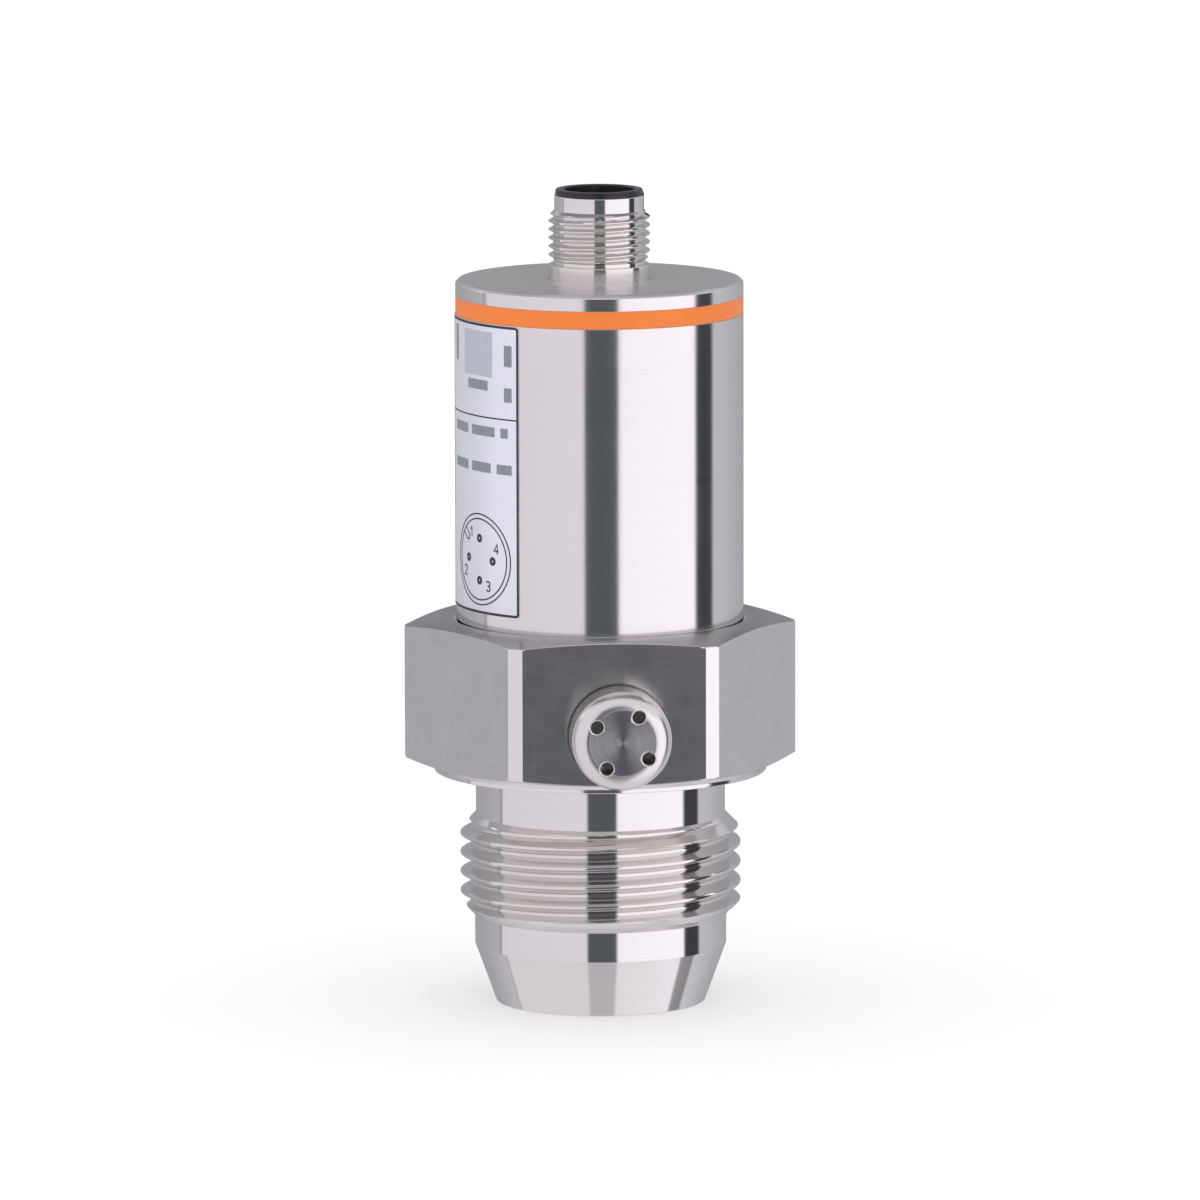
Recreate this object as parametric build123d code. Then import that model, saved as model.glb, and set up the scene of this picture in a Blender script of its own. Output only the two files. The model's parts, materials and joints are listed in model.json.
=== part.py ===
from build123d import *
import math
import os

# Pressure sensor with a sealing cone, a pipe-threaded process fitting and a round threaded plug.
# Millimetres, +Z up along the sensor's axis, origin on the axis in the plane of the foot.
# The vented cover stands out towards -Y. Radii are worked out from the diameters below.

# Fits and clearances between pieces
SLIP_FIT = 0.03
LOOSE_FIT = 0.15
SEAL_SQUEEZE = 0.01

# How far cutting tools run past a face, and how far a thread's foot lies inside its core
TOOL_RUN = 1.0
THREAD_SINK = 0.05

# Process fitting, outside, from the foot up
FOOT_D = 24.8
CONE_ANGLE = 20.0
CONE_H = 6.9
LAND_H = 3.46
THREAD_D = 33.249
THREADS_PER_INCH = 11
FLANK_ANGLE = 27.5
THREAD_CREST_W = 0.34
THREAD_H = 12.1
THREAD_START = 102.0
NECK_D = 29.55
NECK_H = 5.28
FLANGE_D = 39.4
FLANGE_RIM_H = 0.5
FLANGE_FLARE = 0.45
HEX_AF = 41.0
HEX_CORNER_D = 46.3
HEX_H = 17.15
HEX_TOP_D = 39.0
HEX_TOP_ANGLE = 12.0
HEX_FOOT_ANGLE = 13.8

# Process fitting, inside
LIP_T = 1.0
LIP_D = 17.4
CELL_BORE_D = 19.0
BOARD_BORE_D = 26.0
BOARD_BORE_H = 7.85
SPIGOT_H = 4.6
SEAL_GROOVE_W = 1.6
SEAL_GROOVE_DEPTH = 1.1

# Tube housing, orange ring and end cap
TUBE_D = 34.0
TUBE_WALL = 1.0
TUBE_H = 36.86
TUBE_SEAT_DEPTH = 0.55
TUBE_SEAT_GAP = 0.3
RING_H = 2.07
CAP_PLATE_T = 1.9
CAP_EDGE = 0.4
CAP_WEB_T = 1.5
CAP_SPIGOT_H = 6.9
CAP_SPIGOT_WALL = 2.4

# Round threaded plug
PLUG_COLLAR_D = 12.0
PLUG_COLLAR_H = 1.8
PLUG_RELIEF_D = 10.8
PLUG_RELIEF_H = 0.4
PLUG_THREAD_D = 12.0
PLUG_PITCH = 1.0
PLUG_THREAD_DEPTH = 0.58
PLUG_FLANK_ANGLE = 30.0
PLUG_CREST_W = 0.125
PLUG_THREAD_H = 6.01
PLUG_THREAD_START = 288.0
PLUG_NOSE_D = 10.6
PLUG_NOSE_H = 1.75
PLUG_SHOULDER_D = 17.0
PLUG_SHOULDER_T = 2.0
INSERT_D = 9.2
INSERT_RIM_D = 10.4
INSERT_RIM_H = 0.7
INSERT_FOOT_D = 12.0
INSERT_FOOT_T = 1.4
INSERT_GROOVE_W = 1.0
INSERT_GROOVE_DEPTH = 0.6
INSERT_GROOVE_RISE = 1.2
SOCKET_D = 8.3
SOCKET_DEPTH = 8.5
SOCKET_KEY_W = 1.0
SOCKET_KEY_H = 0.6
NOSE_KEY_W = 1.1
NOSE_KEY_ANGLE = -8.0
CONTACT_D = 1.0
CONTACT_SPACING = 4.0
CONTACT_RECESS = 1.4
CONTACT_TAIL = 3.2
CONTACT_TIP = 0.2

# Label foil round the left of the tube; angles run from -Y towards +X
LABEL_T = 0.1
LABEL_TOP_GAP = 0.1
LABEL_FOOT_GAP = 1.85
LABEL_EDGE_ANGLE = -38.3
LABEL_WRAP_ANGLE = 125.0
LABEL_CORNER_R = 0.3

# Vent in the front flat of the hexagon
VENT_RISE = 6.19
VENT_OFFSET = 0.5
VENT_COVER_D = 11.7
VENT_COVER_STANDOFF = 6.5
VENT_COVER_ROUND = 1.95
VENT_COVER_WALL = 0.8
VENT_COVER_FACE_T = 1.2
VENT_SEAT_DEPTH = 0.6
VENT_SEAT_GAP = 0.15
VENT_HOLE_D = 1.5
VENT_HOLE_PCD = 7.1
VENT_HOLE_COUNT = 4
VENT_HOLE_ANGLE = 58.0
NIPPLE_STEM_D = 5.0
NIPPLE_STEM_H = 6.0
NIPPLE_HEAD_H = 3.0
NIPPLE_BORE_D = 2.0
NIPPLE_GROOVE_W = 1.2
NIPPLE_GROOVE_DEPTH = 0.8
MEMBRANE_T = 0.3
MEMBRANE_CLIP_T = 0.6
MEMBRANE_CLIP_WALL = 1.2

# Ceramic measuring cell and its small board
CELL_SEAL_T = 0.5
CELL_D = 18.8
DIAPHRAGM_T = 0.5
CELL_BODY_T = 6.0
BACKING_T = 1.2
BACKING_WALL = 2.8
CLAMP_NUT_T = 3.0
CLAMP_NUT_WALL = 3.2
CLAMP_SLOT_W = 2.0
CLAMP_SLOT_DEPTH = 1.2
CELL_PIN_D = 0.8
CELL_PIN_CIRCLE_D = 8.0
CELL_PIN_COUNT = 3
CELL_PIN_H = 5.2
CELL_BOARD_D = 15.0
CELL_BOARD_T = 1.0
CELL_CHIP_W = 5.0
CELL_CHIP_T = 1.1
LEAD_D = 0.9
LEAD_SPACING = 2.4
LEAD_COUNT = 3
LEAD_OVERLAP = 6.0

# Main board, its carriers and liner
BOARD_T = 1.6
BOARD_W = 22.0
TONGUE_W = 14.0
TONGUE_H = 6.0
TONGUE_GAP = 0.2
CARRIER_T = 2.2
LINER_T = 0.7
LINER_GAP = 0.3
CHIP_W = 10.0
CHIP_T = 1.4
CHIP_RISE = 13.0
CONVERTER_W = 6.0
CONVERTER_DROP = 5.5
DRIVER_W = 7.0
DRIVER_H = 9.0
DRIVER_T = 2.2
DRIVER_RISE = 21.0
CAPACITOR_D = 5.0
CAPACITOR_H = 5.4
CAPACITOR_SPACING = 11.0
CAPACITOR_RISE = 12.0
HEADER_W = 10.0
HEADER_T = 2.5
HEADER_H = 3.4
PLUG_BOARD_D = 16.0
PLUG_BOARD_T = 1.2

# Radii and heights worked out from the sizes above
MM_PER_INCH = 25.4
THREAD_PITCH = MM_PER_INCH / THREADS_PER_INCH
WHITWORTH_DEPTH = 0.640327 * THREAD_PITCH
THREAD_R = THREAD_D / 2
ROOT_R = THREAD_R - WHITWORTH_DEPTH
LAND_R = FOOT_D / 2 + CONE_H * math.tan(math.radians(CONE_ANGLE))
NECK_R = NECK_D / 2
FLANGE_R = FLANGE_D / 2
CELL_BORE_R = CELL_BORE_D / 2
BOARD_BORE_R = BOARD_BORE_D / 2
TUBE_R = TUBE_D / 2
TUBE_BORE_R = TUBE_R - TUBE_WALL
SPIGOT_R = TUBE_BORE_R - SLIP_FIT

LAND_Z = CONE_H
THREAD_Z = LAND_Z + LAND_H
NECK_Z = THREAD_Z + THREAD_H
FLANGE_Z = NECK_Z + NECK_H
HEX_Z = FLANGE_Z + FLANGE_RIM_H + FLANGE_FLARE
HEX_TOP_Z = HEX_Z + HEX_H
TUBE_Z = HEX_TOP_Z - TUBE_SEAT_DEPTH
SPIGOT_Z = TUBE_Z + SPIGOT_H
BOARD_SEAT_Z = HEX_TOP_Z - BOARD_BORE_H
TUBE_TOP_Z = TUBE_Z + TUBE_H
CAP_Z = TUBE_TOP_Z + RING_H
CAP_TOP_Z = CAP_Z + CAP_PLATE_T
CAP_WEB_Z = CAP_Z - CAP_WEB_T
COLLAR_TOP_Z = CAP_TOP_Z + PLUG_COLLAR_H
PLUG_THREAD_Z = COLLAR_TOP_Z + PLUG_RELIEF_H
NOSE_Z = PLUG_THREAD_Z + PLUG_THREAD_H
NOSE_TOP_Z = NOSE_Z + PLUG_NOSE_H
RIM_Z = NOSE_TOP_Z + INSERT_RIM_H
SOCKET_FLOOR_Z = RIM_Z - SOCKET_DEPTH
SHOULDER_Z = CAP_WEB_Z - PLUG_SHOULDER_T
INSERT_Z = SHOULDER_Z - INSERT_FOOT_T
PLUG_BOARD_TOP_Z = INSERT_Z - CONTACT_TAIL
PLUG_BOARD_Z = PLUG_BOARD_TOP_Z - PLUG_BOARD_T

CELL_SEAL_Z = LIP_T
DIAPHRAGM_Z = CELL_SEAL_Z + CELL_SEAL_T
CELL_BODY_Z = DIAPHRAGM_Z + DIAPHRAGM_T
BACKING_Z = CELL_BODY_Z + CELL_BODY_T
CLAMP_NUT_Z = BACKING_Z + BACKING_T
CELL_BOARD_Z = BACKING_Z + CELL_PIN_H
CELL_BOARD_TOP_Z = CELL_BOARD_Z + CELL_BOARD_T

TONGUE_TOP_Z = PLUG_BOARD_Z - TONGUE_GAP
BOARD_SHOULDER_Z = TONGUE_TOP_Z - TONGUE_H
LINER_R = TUBE_BORE_R - SLIP_FIT
LINER_BORE_R = LINER_R - LINER_T
LINER_TOP_Z = CAP_Z - CAP_SPIGOT_H - LINER_GAP

FLAT_Y = -HEX_AF / 2
VENT_Z = HEX_Z + VENT_RISE
VENT_FRONT_Y = FLAT_Y - VENT_COVER_STANDOFF
VENT_R = VENT_COVER_D / 2
VENT_BORE_R = VENT_R - VENT_COVER_WALL
NIPPLE_HEAD_R = VENT_BORE_R - SLIP_FIT


def turned(*outline, arc=360):
    """Solid turned about Z from a closed outline of (radius, height) corners."""
    face = make_face(Plane.XZ * Polyline(*outline, close=True))
    return revolve(face, Axis.Z, revolution_arc=arc)


def ring(inner_r, outer_r, z, height):
    """Plain ring or, with no inner radius, plain disc."""
    return turned((inner_r, z), (outer_r, z), (outer_r, z + height), (inner_r, z + height))


def rod(x, y, z, diameter, length):
    """Upright round rod that starts at height z."""
    return Pos(x, y, z + length / 2) * Cylinder(diameter / 2, length)


def block(x, y, z, width, depth, height):
    """Upright block centred on x and y that starts at height z."""
    return Pos(x, y, z + height / 2) * Box(width, depth, height)


def one_solid(part):
    """The single solid of a piece, so that each file holds just that."""
    return part.solids()[0]


def thread_ridge(pitch, crest_r, root_r, crest_w, flank_angle, z, height, start_angle):
    """Right-hand thread ridge that runs past both ends of its length, to be trimmed there."""
    base_r = root_r - THREAD_SINK
    slope = math.tan(math.radians(flank_angle))
    crest = crest_w / 2
    base = crest + (crest_r - base_r) * slope
    section = Plane.XZ * Polyline(
        (base_r, -base), (crest_r, -crest), (crest_r, crest), (base_r, base), close=True
    )
    path = Helix(pitch=pitch, height=height + 2 * pitch, radius=root_r)
    ridge = sweep(make_face(section), path=path, is_frenet=True)
    return Pos(0, 0, z - pitch) * Rot(0, 0, start_angle) * ridge


def threaded(core, envelope, ridge):
    """A turned core with the part of the ridge that lies inside the turned envelope."""
    return core + (ridge & envelope)


def front_cylinder(diameter, y_front, length):
    """Cylinder on the vent's axis that starts at y_front and runs into the sensor."""
    place = Pos(VENT_OFFSET, y_front + length / 2, VENT_Z) * Rot(90, 0, 0)
    return place * Cylinder(diameter / 2, length)


def front_turned(*outline):
    """Solid turned about the vent's axis from corners of (radius, distance in front of the flat)."""
    place = Pos(VENT_OFFSET, FLAT_Y, VENT_Z) * Rot(90, 0, 0)
    return place * turned(*outline)


def process_fitting():
    """Cone, thread, neck, flange and hexagon, turned and milled from one bar."""
    chamfer_in = THREAD_R - LAND_R
    chamfer_out = THREAD_R - NECK_R
    core = turned(
        (0, 0),
        (FOOT_D / 2, 0),
        (LAND_R, LAND_Z),
        (LAND_R, THREAD_Z),
        (ROOT_R, THREAD_Z + ROOT_R - LAND_R),
        (ROOT_R, NECK_Z - (ROOT_R - NECK_R)),
        (NECK_R, NECK_Z),
        (NECK_R, FLANGE_Z),
        (FLANGE_R, FLANGE_Z),
        (FLANGE_R, FLANGE_Z + FLANGE_RIM_H),
        (FLANGE_R + FLANGE_FLARE, HEX_Z),
        (0, HEX_Z),
    )
    envelope = turned(
        (0, THREAD_Z),
        (LAND_R, THREAD_Z),
        (THREAD_R + TOOL_RUN, THREAD_Z + chamfer_in + TOOL_RUN),
        (THREAD_R + TOOL_RUN, NECK_Z - chamfer_out - TOOL_RUN),
        (NECK_R, NECK_Z),
        (0, NECK_Z),
    )
    ridge = thread_ridge(
        THREAD_PITCH,
        THREAD_R,
        ROOT_R,
        THREAD_CREST_W,
        FLANK_ANGLE,
        THREAD_Z,
        THREAD_H,
        THREAD_START,
    )
    corner_r = HEX_CORNER_D / 2
    foot_r = FLANGE_R + FLANGE_FLARE
    top_drop = (corner_r - HEX_TOP_D / 2) * math.tan(math.radians(HEX_TOP_ANGLE))
    foot_rise = (corner_r - foot_r) * math.tan(math.radians(HEX_FOOT_ANGLE))
    hexagon = Pos(0, 0, HEX_Z) * extrude(RegularPolygon(HEX_AF / 2, 6, major_radius=False), HEX_H)
    hexagon &= turned(
        (0, HEX_Z),
        (foot_r, HEX_Z),
        (corner_r, HEX_Z + foot_rise),
        (corner_r, HEX_TOP_Z - top_drop),
        (HEX_TOP_D / 2, HEX_TOP_Z),
        (0, HEX_TOP_Z),
    )
    groove_z = TUBE_Z + (SPIGOT_H - SEAL_GROOVE_W) / 2
    spigot = ring(0, SPIGOT_R, TUBE_Z, SPIGOT_H)
    spigot -= ring(SPIGOT_R - SEAL_GROOVE_DEPTH, TUBE_R, groove_z, SEAL_GROOVE_W)
    hexagon -= ring(0, TUBE_R + TUBE_SEAT_GAP, TUBE_Z, HEX_TOP_Z)
    inside = turned(
        (0, 0),
        (LIP_D / 2, 0),
        (LIP_D / 2, LIP_T),
        (CELL_BORE_R, LIP_T),
        (CELL_BORE_R, BOARD_SEAT_Z),
        (BOARD_BORE_R, BOARD_SEAT_Z),
        (BOARD_BORE_R, SPIGOT_Z),
        (0, SPIGOT_Z),
    )
    body = threaded(core, envelope, ridge) + hexagon + spigot - inside
    seat_d = VENT_COVER_D + 2 * VENT_SEAT_GAP
    body -= front_cylinder(seat_d, FLAT_Y - TOOL_RUN, TOOL_RUN + VENT_SEAT_DEPTH)
    body -= front_cylinder(NIPPLE_STEM_D + 2 * SLIP_FIT, FLAT_Y, -FLAT_Y)
    return body


def seal(inner_r, outer_r, z, width):
    """Seal ring that fills its groove between two round walls, a touch smaller than both."""
    low = z + SEAL_SQUEEZE
    return ring(inner_r + SEAL_SQUEEZE, outer_r - SEAL_SQUEEZE, low, width - 2 * SEAL_SQUEEZE)


def housing_o_ring():
    """Seal in the spigot's groove, against the tube."""
    groove_z = TUBE_Z + (SPIGOT_H - SEAL_GROOVE_W) / 2
    return seal(SPIGOT_R - SEAL_GROOVE_DEPTH, TUBE_BORE_R, groove_z, SEAL_GROOVE_W)


def housing_tube():
    """Round tube that stands in the groove round the spigot."""
    return ring(TUBE_BORE_R, TUBE_R, TUBE_Z, TUBE_H)


def colour_ring():
    """Orange ring between the tube and the end cap."""
    return ring(TUBE_BORE_R, TUBE_R, TUBE_TOP_Z, RING_H)


def cap_groove_z():
    """Height of the seal groove in the cap's spigot."""
    return CAP_Z - CAP_SPIGOT_H + (CAP_SPIGOT_H - RING_H - SEAL_GROOVE_W) / 2


def end_cap():
    """Steel cap with a spigot that goes down through the orange ring into the tube."""
    spigot_z = CAP_Z - CAP_SPIGOT_H
    spigot_bore_r = SPIGOT_R - CAP_SPIGOT_WALL
    hole_r = PLUG_COLLAR_D / 2 + SLIP_FIT
    cap = turned(
        (hole_r, CAP_WEB_Z),
        (spigot_bore_r, CAP_WEB_Z),
        (spigot_bore_r, spigot_z),
        (SPIGOT_R, spigot_z),
        (SPIGOT_R, CAP_Z),
        (TUBE_R, CAP_Z),
        (TUBE_R, CAP_TOP_Z - CAP_EDGE),
        (TUBE_R - CAP_EDGE, CAP_TOP_Z),
        (hole_r, CAP_TOP_Z),
    )
    return cap - ring(SPIGOT_R - SEAL_GROOVE_DEPTH, TUBE_R, cap_groove_z(), SEAL_GROOVE_W)


def cap_o_ring():
    """Seal in the cap spigot's groove, against the tube."""
    return seal(SPIGOT_R - SEAL_GROOVE_DEPTH, TUBE_BORE_R, cap_groove_z(), SEAL_GROOVE_W)


def nose_key(extra=0.0):
    """Block on the nose's side, where the insert's key shows through a slot in the sleeve."""
    length = NOSE_TOP_Z - NOSE_Z + PLUG_PITCH
    inner_r = (INSERT_D + SOCKET_D) / 4
    reach = PLUG_NOSE_D / 2 - inner_r
    width = NOSE_KEY_W + 2 * extra
    key = block(inner_r + reach / 2, 0, NOSE_TOP_Z - length, reach, width, length)
    return Rot(0, 0, NOSE_KEY_ANGLE) * key


def plug_sleeve():
    """Threaded sleeve of the plug, held in the cap by its shoulder."""
    root_r = PLUG_THREAD_D / 2 - PLUG_THREAD_DEPTH
    bore_r = INSERT_D / 2 + SLIP_FIT
    nose_r = PLUG_NOSE_D / 2
    core = turned(
        (bore_r, SHOULDER_Z),
        (PLUG_SHOULDER_D / 2, SHOULDER_Z),
        (PLUG_SHOULDER_D / 2, CAP_WEB_Z),
        (PLUG_COLLAR_D / 2, CAP_WEB_Z),
        (PLUG_COLLAR_D / 2, COLLAR_TOP_Z),
        (PLUG_RELIEF_D / 2, COLLAR_TOP_Z),
        (root_r, PLUG_THREAD_Z),
        (root_r, NOSE_Z),
        (nose_r, NOSE_Z),
        (nose_r, NOSE_TOP_Z),
        (bore_r, NOSE_TOP_Z),
    )
    crest_r = PLUG_THREAD_D / 2
    chamfer_h = crest_r - nose_r
    envelope = turned(
        (bore_r, PLUG_THREAD_Z),
        (PLUG_RELIEF_D / 2, PLUG_THREAD_Z),
        (crest_r + TOOL_RUN, PLUG_THREAD_Z + crest_r + TOOL_RUN - PLUG_RELIEF_D / 2),
        (crest_r + TOOL_RUN, NOSE_Z - chamfer_h - TOOL_RUN),
        (nose_r, NOSE_Z),
        (bore_r, NOSE_Z),
    )
    ridge = thread_ridge(
        PLUG_PITCH,
        crest_r,
        root_r,
        PLUG_CREST_W,
        PLUG_FLANK_ANGLE,
        PLUG_THREAD_Z,
        PLUG_THREAD_H,
        PLUG_THREAD_START,
    )
    return threaded(core, envelope, ridge) - nose_key(SLIP_FIT)


def contact_places():
    """Places of the four contacts, on the corners of a square."""
    half = CONTACT_SPACING / 2
    return [(-half, half), (half, half), (half, -half), (-half, -half)]


def insert_groove_z():
    """Height of the seal groove round the insert, just above the sleeve's shoulder."""
    return CAP_WEB_Z + INSERT_GROOVE_RISE


def plug_insert():
    """Plastic contact carrier: foot under the sleeve, socket, rim over the nose, and keys."""
    body = turned(
        (0, INSERT_Z),
        (INSERT_FOOT_D / 2, INSERT_Z),
        (INSERT_FOOT_D / 2, SHOULDER_Z),
        (INSERT_D / 2, SHOULDER_Z),
        (INSERT_D / 2, NOSE_TOP_Z),
        (INSERT_RIM_D / 2, NOSE_TOP_Z),
        (INSERT_RIM_D / 2, RIM_Z),
        (SOCKET_D / 2, RIM_Z),
        (SOCKET_D / 2, SOCKET_FLOOR_Z),
        (0, SOCKET_FLOOR_Z),
    )
    key_reach = 2 * SOCKET_KEY_H
    key = block(0, SOCKET_D / 2, SOCKET_FLOOR_Z, SOCKET_KEY_W, key_reach, SOCKET_DEPTH - CONTACT_RECESS)
    body += key & ring(0, INSERT_D / 2, SOCKET_FLOOR_Z, SOCKET_DEPTH)
    body += nose_key() - ring(0, SOCKET_D / 2, SOCKET_FLOOR_Z, SOCKET_DEPTH)
    for x, y in contact_places():
        body -= rod(x, y, INSERT_Z, CONTACT_D + 2 * SLIP_FIT, SOCKET_FLOOR_Z - INSERT_Z)
    groove_r = INSERT_D / 2 - INSERT_GROOVE_DEPTH
    return body - ring(groove_r, PLUG_COLLAR_D / 2, insert_groove_z(), INSERT_GROOVE_W)


def plug_o_ring():
    """Seal in the insert's groove, against the sleeve's bore."""
    groove_r = INSERT_D / 2 - INSERT_GROOVE_DEPTH
    bore_r = INSERT_D / 2 + SLIP_FIT
    return seal(groove_r, bore_r, insert_groove_z(), INSERT_GROOVE_W)


def plug_pin(x, y):
    """Contact from the plug board through the insert into the socket, with a bevelled tip."""
    tip_z = RIM_Z - CONTACT_RECESS
    outline = [
        (0, PLUG_BOARD_TOP_Z),
        (CONTACT_D / 2, PLUG_BOARD_TOP_Z),
        (CONTACT_D / 2, tip_z - CONTACT_TIP),
        (CONTACT_D / 2 - CONTACT_TIP, tip_z),
        (0, tip_z),
    ]
    return Pos(x, y, 0) * turned(*outline)


def label_foil():
    """Thin foil bent round the tube, with rounded corners."""
    low = HEX_TOP_Z + LABEL_FOOT_GAP
    high = TUBE_TOP_Z - LABEL_TOP_GAP
    strip = turned(
        (TUBE_R, low),
        (TUBE_R + LABEL_T, low),
        (TUBE_R + LABEL_T, high),
        (TUBE_R, high),
        arc=LABEL_WRAP_ANGLE,
    )
    corners = [e for e in strip.edges() if e.length < 2 * LABEL_T and abs(e.tangent_at(0).Z) < 0.5]
    strip = fillet(corners, LABEL_CORNER_R)
    return Rot(0, 0, -90 + LABEL_EDGE_ANGLE - LABEL_WRAP_ANGLE) * strip


def vent_cover():
    """Round cover with a rounded front edge and a ring of holes, open at the back."""
    back = -VENT_SEAT_DEPTH
    front = VENT_COVER_STANDOFF
    shell = front_turned((0, back), (VENT_R, back), (VENT_R, front), (0, front))
    shell = fillet(shell.edges().filter_by(GeomType.CIRCLE).sort_by(Axis.Y)[0], VENT_COVER_ROUND)
    shell -= front_turned(
        (0, back),
        (VENT_BORE_R, back),
        (VENT_BORE_R, front - VENT_COVER_FACE_T),
        (0, front - VENT_COVER_FACE_T),
    )
    hole = Cylinder(VENT_HOLE_D / 2, 2 * VENT_COVER_STANDOFF)
    for i in range(VENT_HOLE_COUNT):
        angle = math.radians(VENT_HOLE_ANGLE + 360 * i / VENT_HOLE_COUNT)
        x = VENT_OFFSET + VENT_HOLE_PCD / 2 * math.cos(angle)
        z = VENT_Z + VENT_HOLE_PCD / 2 * math.sin(angle)
        shell -= Pos(x, VENT_FRONT_Y, z) * Rot(90, 0, 0) * hole
    return shell


def nipple_groove():
    """Distance in front of the flat at which the nipple's groove starts."""
    return -VENT_SEAT_DEPTH + (NIPPLE_HEAD_H - NIPPLE_GROOVE_W) / 2


def vent_nipple():
    """Nipple in the hexagon's radial hole, whose head carries the cover."""
    seat = -VENT_SEAT_DEPTH
    groove = nipple_groove()
    groove_r = NIPPLE_HEAD_R - NIPPLE_GROOVE_DEPTH
    return front_turned(
        (NIPPLE_BORE_D / 2, seat - NIPPLE_STEM_H),
        (NIPPLE_STEM_D / 2, seat - NIPPLE_STEM_H),
        (NIPPLE_STEM_D / 2, seat),
        (NIPPLE_HEAD_R, seat),
        (NIPPLE_HEAD_R, groove),
        (groove_r, groove),
        (groove_r, groove + NIPPLE_GROOVE_W),
        (NIPPLE_HEAD_R, groove + NIPPLE_GROOVE_W),
        (NIPPLE_HEAD_R, seat + NIPPLE_HEAD_H),
        (NIPPLE_BORE_D / 2, seat + NIPPLE_HEAD_H),
    )


def vent_o_ring():
    """Ring in the nipple's groove, on which the cover snaps."""
    inner = NIPPLE_HEAD_R - NIPPLE_GROOVE_DEPTH + SEAL_SQUEEZE
    outer = VENT_BORE_R - SEAL_SQUEEZE
    low = nipple_groove() + SEAL_SQUEEZE
    high = low + NIPPLE_GROOVE_W - 2 * SEAL_SQUEEZE
    return front_turned((inner, low), (outer, low), (outer, high), (inner, high))


def vent_membrane():
    """Filter disc on the nipple's head."""
    low = -VENT_SEAT_DEPTH + NIPPLE_HEAD_H
    high = low + MEMBRANE_T
    return front_turned((0, low), (NIPPLE_HEAD_R, low), (NIPPLE_HEAD_R, high), (0, high))


def membrane_ring():
    """Clip ring that holds the filter disc down."""
    low = -VENT_SEAT_DEPTH + NIPPLE_HEAD_H + MEMBRANE_T
    high = low + MEMBRANE_CLIP_T
    inner = NIPPLE_HEAD_R - MEMBRANE_CLIP_WALL
    return front_turned((inner, low), (NIPPLE_HEAD_R, low), (NIPPLE_HEAD_R, high), (inner, high))


def cell_seal():
    """Front seal between the foot's lip and the diaphragm."""
    return ring(LIP_D / 2, CELL_D / 2, CELL_SEAL_Z, CELL_SEAL_T)


def cell_diaphragm():
    """Thin ceramic disc that takes the pressure."""
    return ring(0, CELL_D / 2, DIAPHRAGM_Z, DIAPHRAGM_T)


def cell_body():
    """Thick ceramic disc behind the diaphragm."""
    return ring(0, CELL_D / 2, CELL_BODY_Z, CELL_BODY_T)


def cell_backing_ring():
    """Ring that spreads the clamp nut's load over the cell's rim."""
    return ring(CELL_D / 2 - BACKING_WALL, CELL_D / 2, BACKING_Z, BACKING_T)


def cell_clamp_nut():
    """Ring nut over the backing ring, with a cross slot for its spanner."""
    outer_r = CELL_BORE_R - SLIP_FIT
    nut = ring(outer_r - CLAMP_NUT_WALL, outer_r, CLAMP_NUT_Z, CLAMP_NUT_T)
    slot_z = CLAMP_NUT_Z + CLAMP_NUT_T - CLAMP_SLOT_DEPTH
    return nut - block(0, 0, slot_z, 2 * CELL_BORE_D, CLAMP_SLOT_W, 2 * CLAMP_SLOT_DEPTH)


def cell_pins():
    """Contacts that stand on the cell's back and carry its board."""
    pins = []
    for i in range(CELL_PIN_COUNT):
        angle = math.radians(90 + 360 * i / CELL_PIN_COUNT)
        x = CELL_PIN_CIRCLE_D / 2 * math.cos(angle)
        y = CELL_PIN_CIRCLE_D / 2 * math.sin(angle)
        pins.append(rod(x, y, BACKING_Z, CELL_PIN_D, CELL_PIN_H))
    return pins


def cell_board():
    """Small round board on the cell's pins."""
    return ring(0, CELL_BOARD_D / 2, CELL_BOARD_Z, CELL_BOARD_T)


def cell_chip():
    """Measuring chip on the cell's board, clear of the leads."""
    return block(0, -CELL_CHIP_W / 2, CELL_BOARD_TOP_Z, CELL_CHIP_W, CELL_CHIP_W, CELL_CHIP_T)


def lead_y():
    """Distance of the leads behind the axis, where they lie on the main board's back."""
    return BOARD_T / 2 + LEAD_D / 2


def cell_leads():
    """Wires from the cell's board up to the back of the main board."""
    length = BOARD_SEAT_Z + LEAD_OVERLAP - CELL_BOARD_TOP_Z
    first = -LEAD_SPACING * (LEAD_COUNT - 1) / 2
    return [
        rod(first + i * LEAD_SPACING, lead_y(), CELL_BOARD_TOP_Z, LEAD_D, length)
        for i in range(LEAD_COUNT)
    ]


def lower_carrier():
    """Disc on the step of the fitting's bore that holds the board's foot and passes the leads."""
    disc = ring(0, BOARD_BORE_R - SLIP_FIT, BOARD_SEAT_Z, CARRIER_T)
    disc -= block(0, 0, BOARD_SEAT_Z, BOARD_W + 2 * SLIP_FIT, BOARD_T + 2 * SLIP_FIT, CARRIER_T)
    window_w = LEAD_SPACING * LEAD_COUNT + LEAD_D
    window_d = LEAD_D + BOARD_T
    return disc - block(0, window_d / 2, BOARD_SEAT_Z, window_w, window_d + 2 * LOOSE_FIT, CARRIER_T)


def upper_carrier():
    """Disc on the board's shoulders, inside the liner."""
    disc = ring(0, LINER_BORE_R - SLIP_FIT, BOARD_SHOULDER_Z, CARRIER_T)
    slot_w = TONGUE_W + 2 * SLIP_FIT
    return disc - block(0, 0, BOARD_SHOULDER_Z, slot_w, BOARD_T + 2 * SLIP_FIT, CARRIER_T)


def insulating_sleeve():
    """Plastic liner that stands on the spigot inside the tube."""
    return ring(LINER_BORE_R, LINER_R, SPIGOT_Z, LINER_TOP_Z - SPIGOT_Z)


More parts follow.
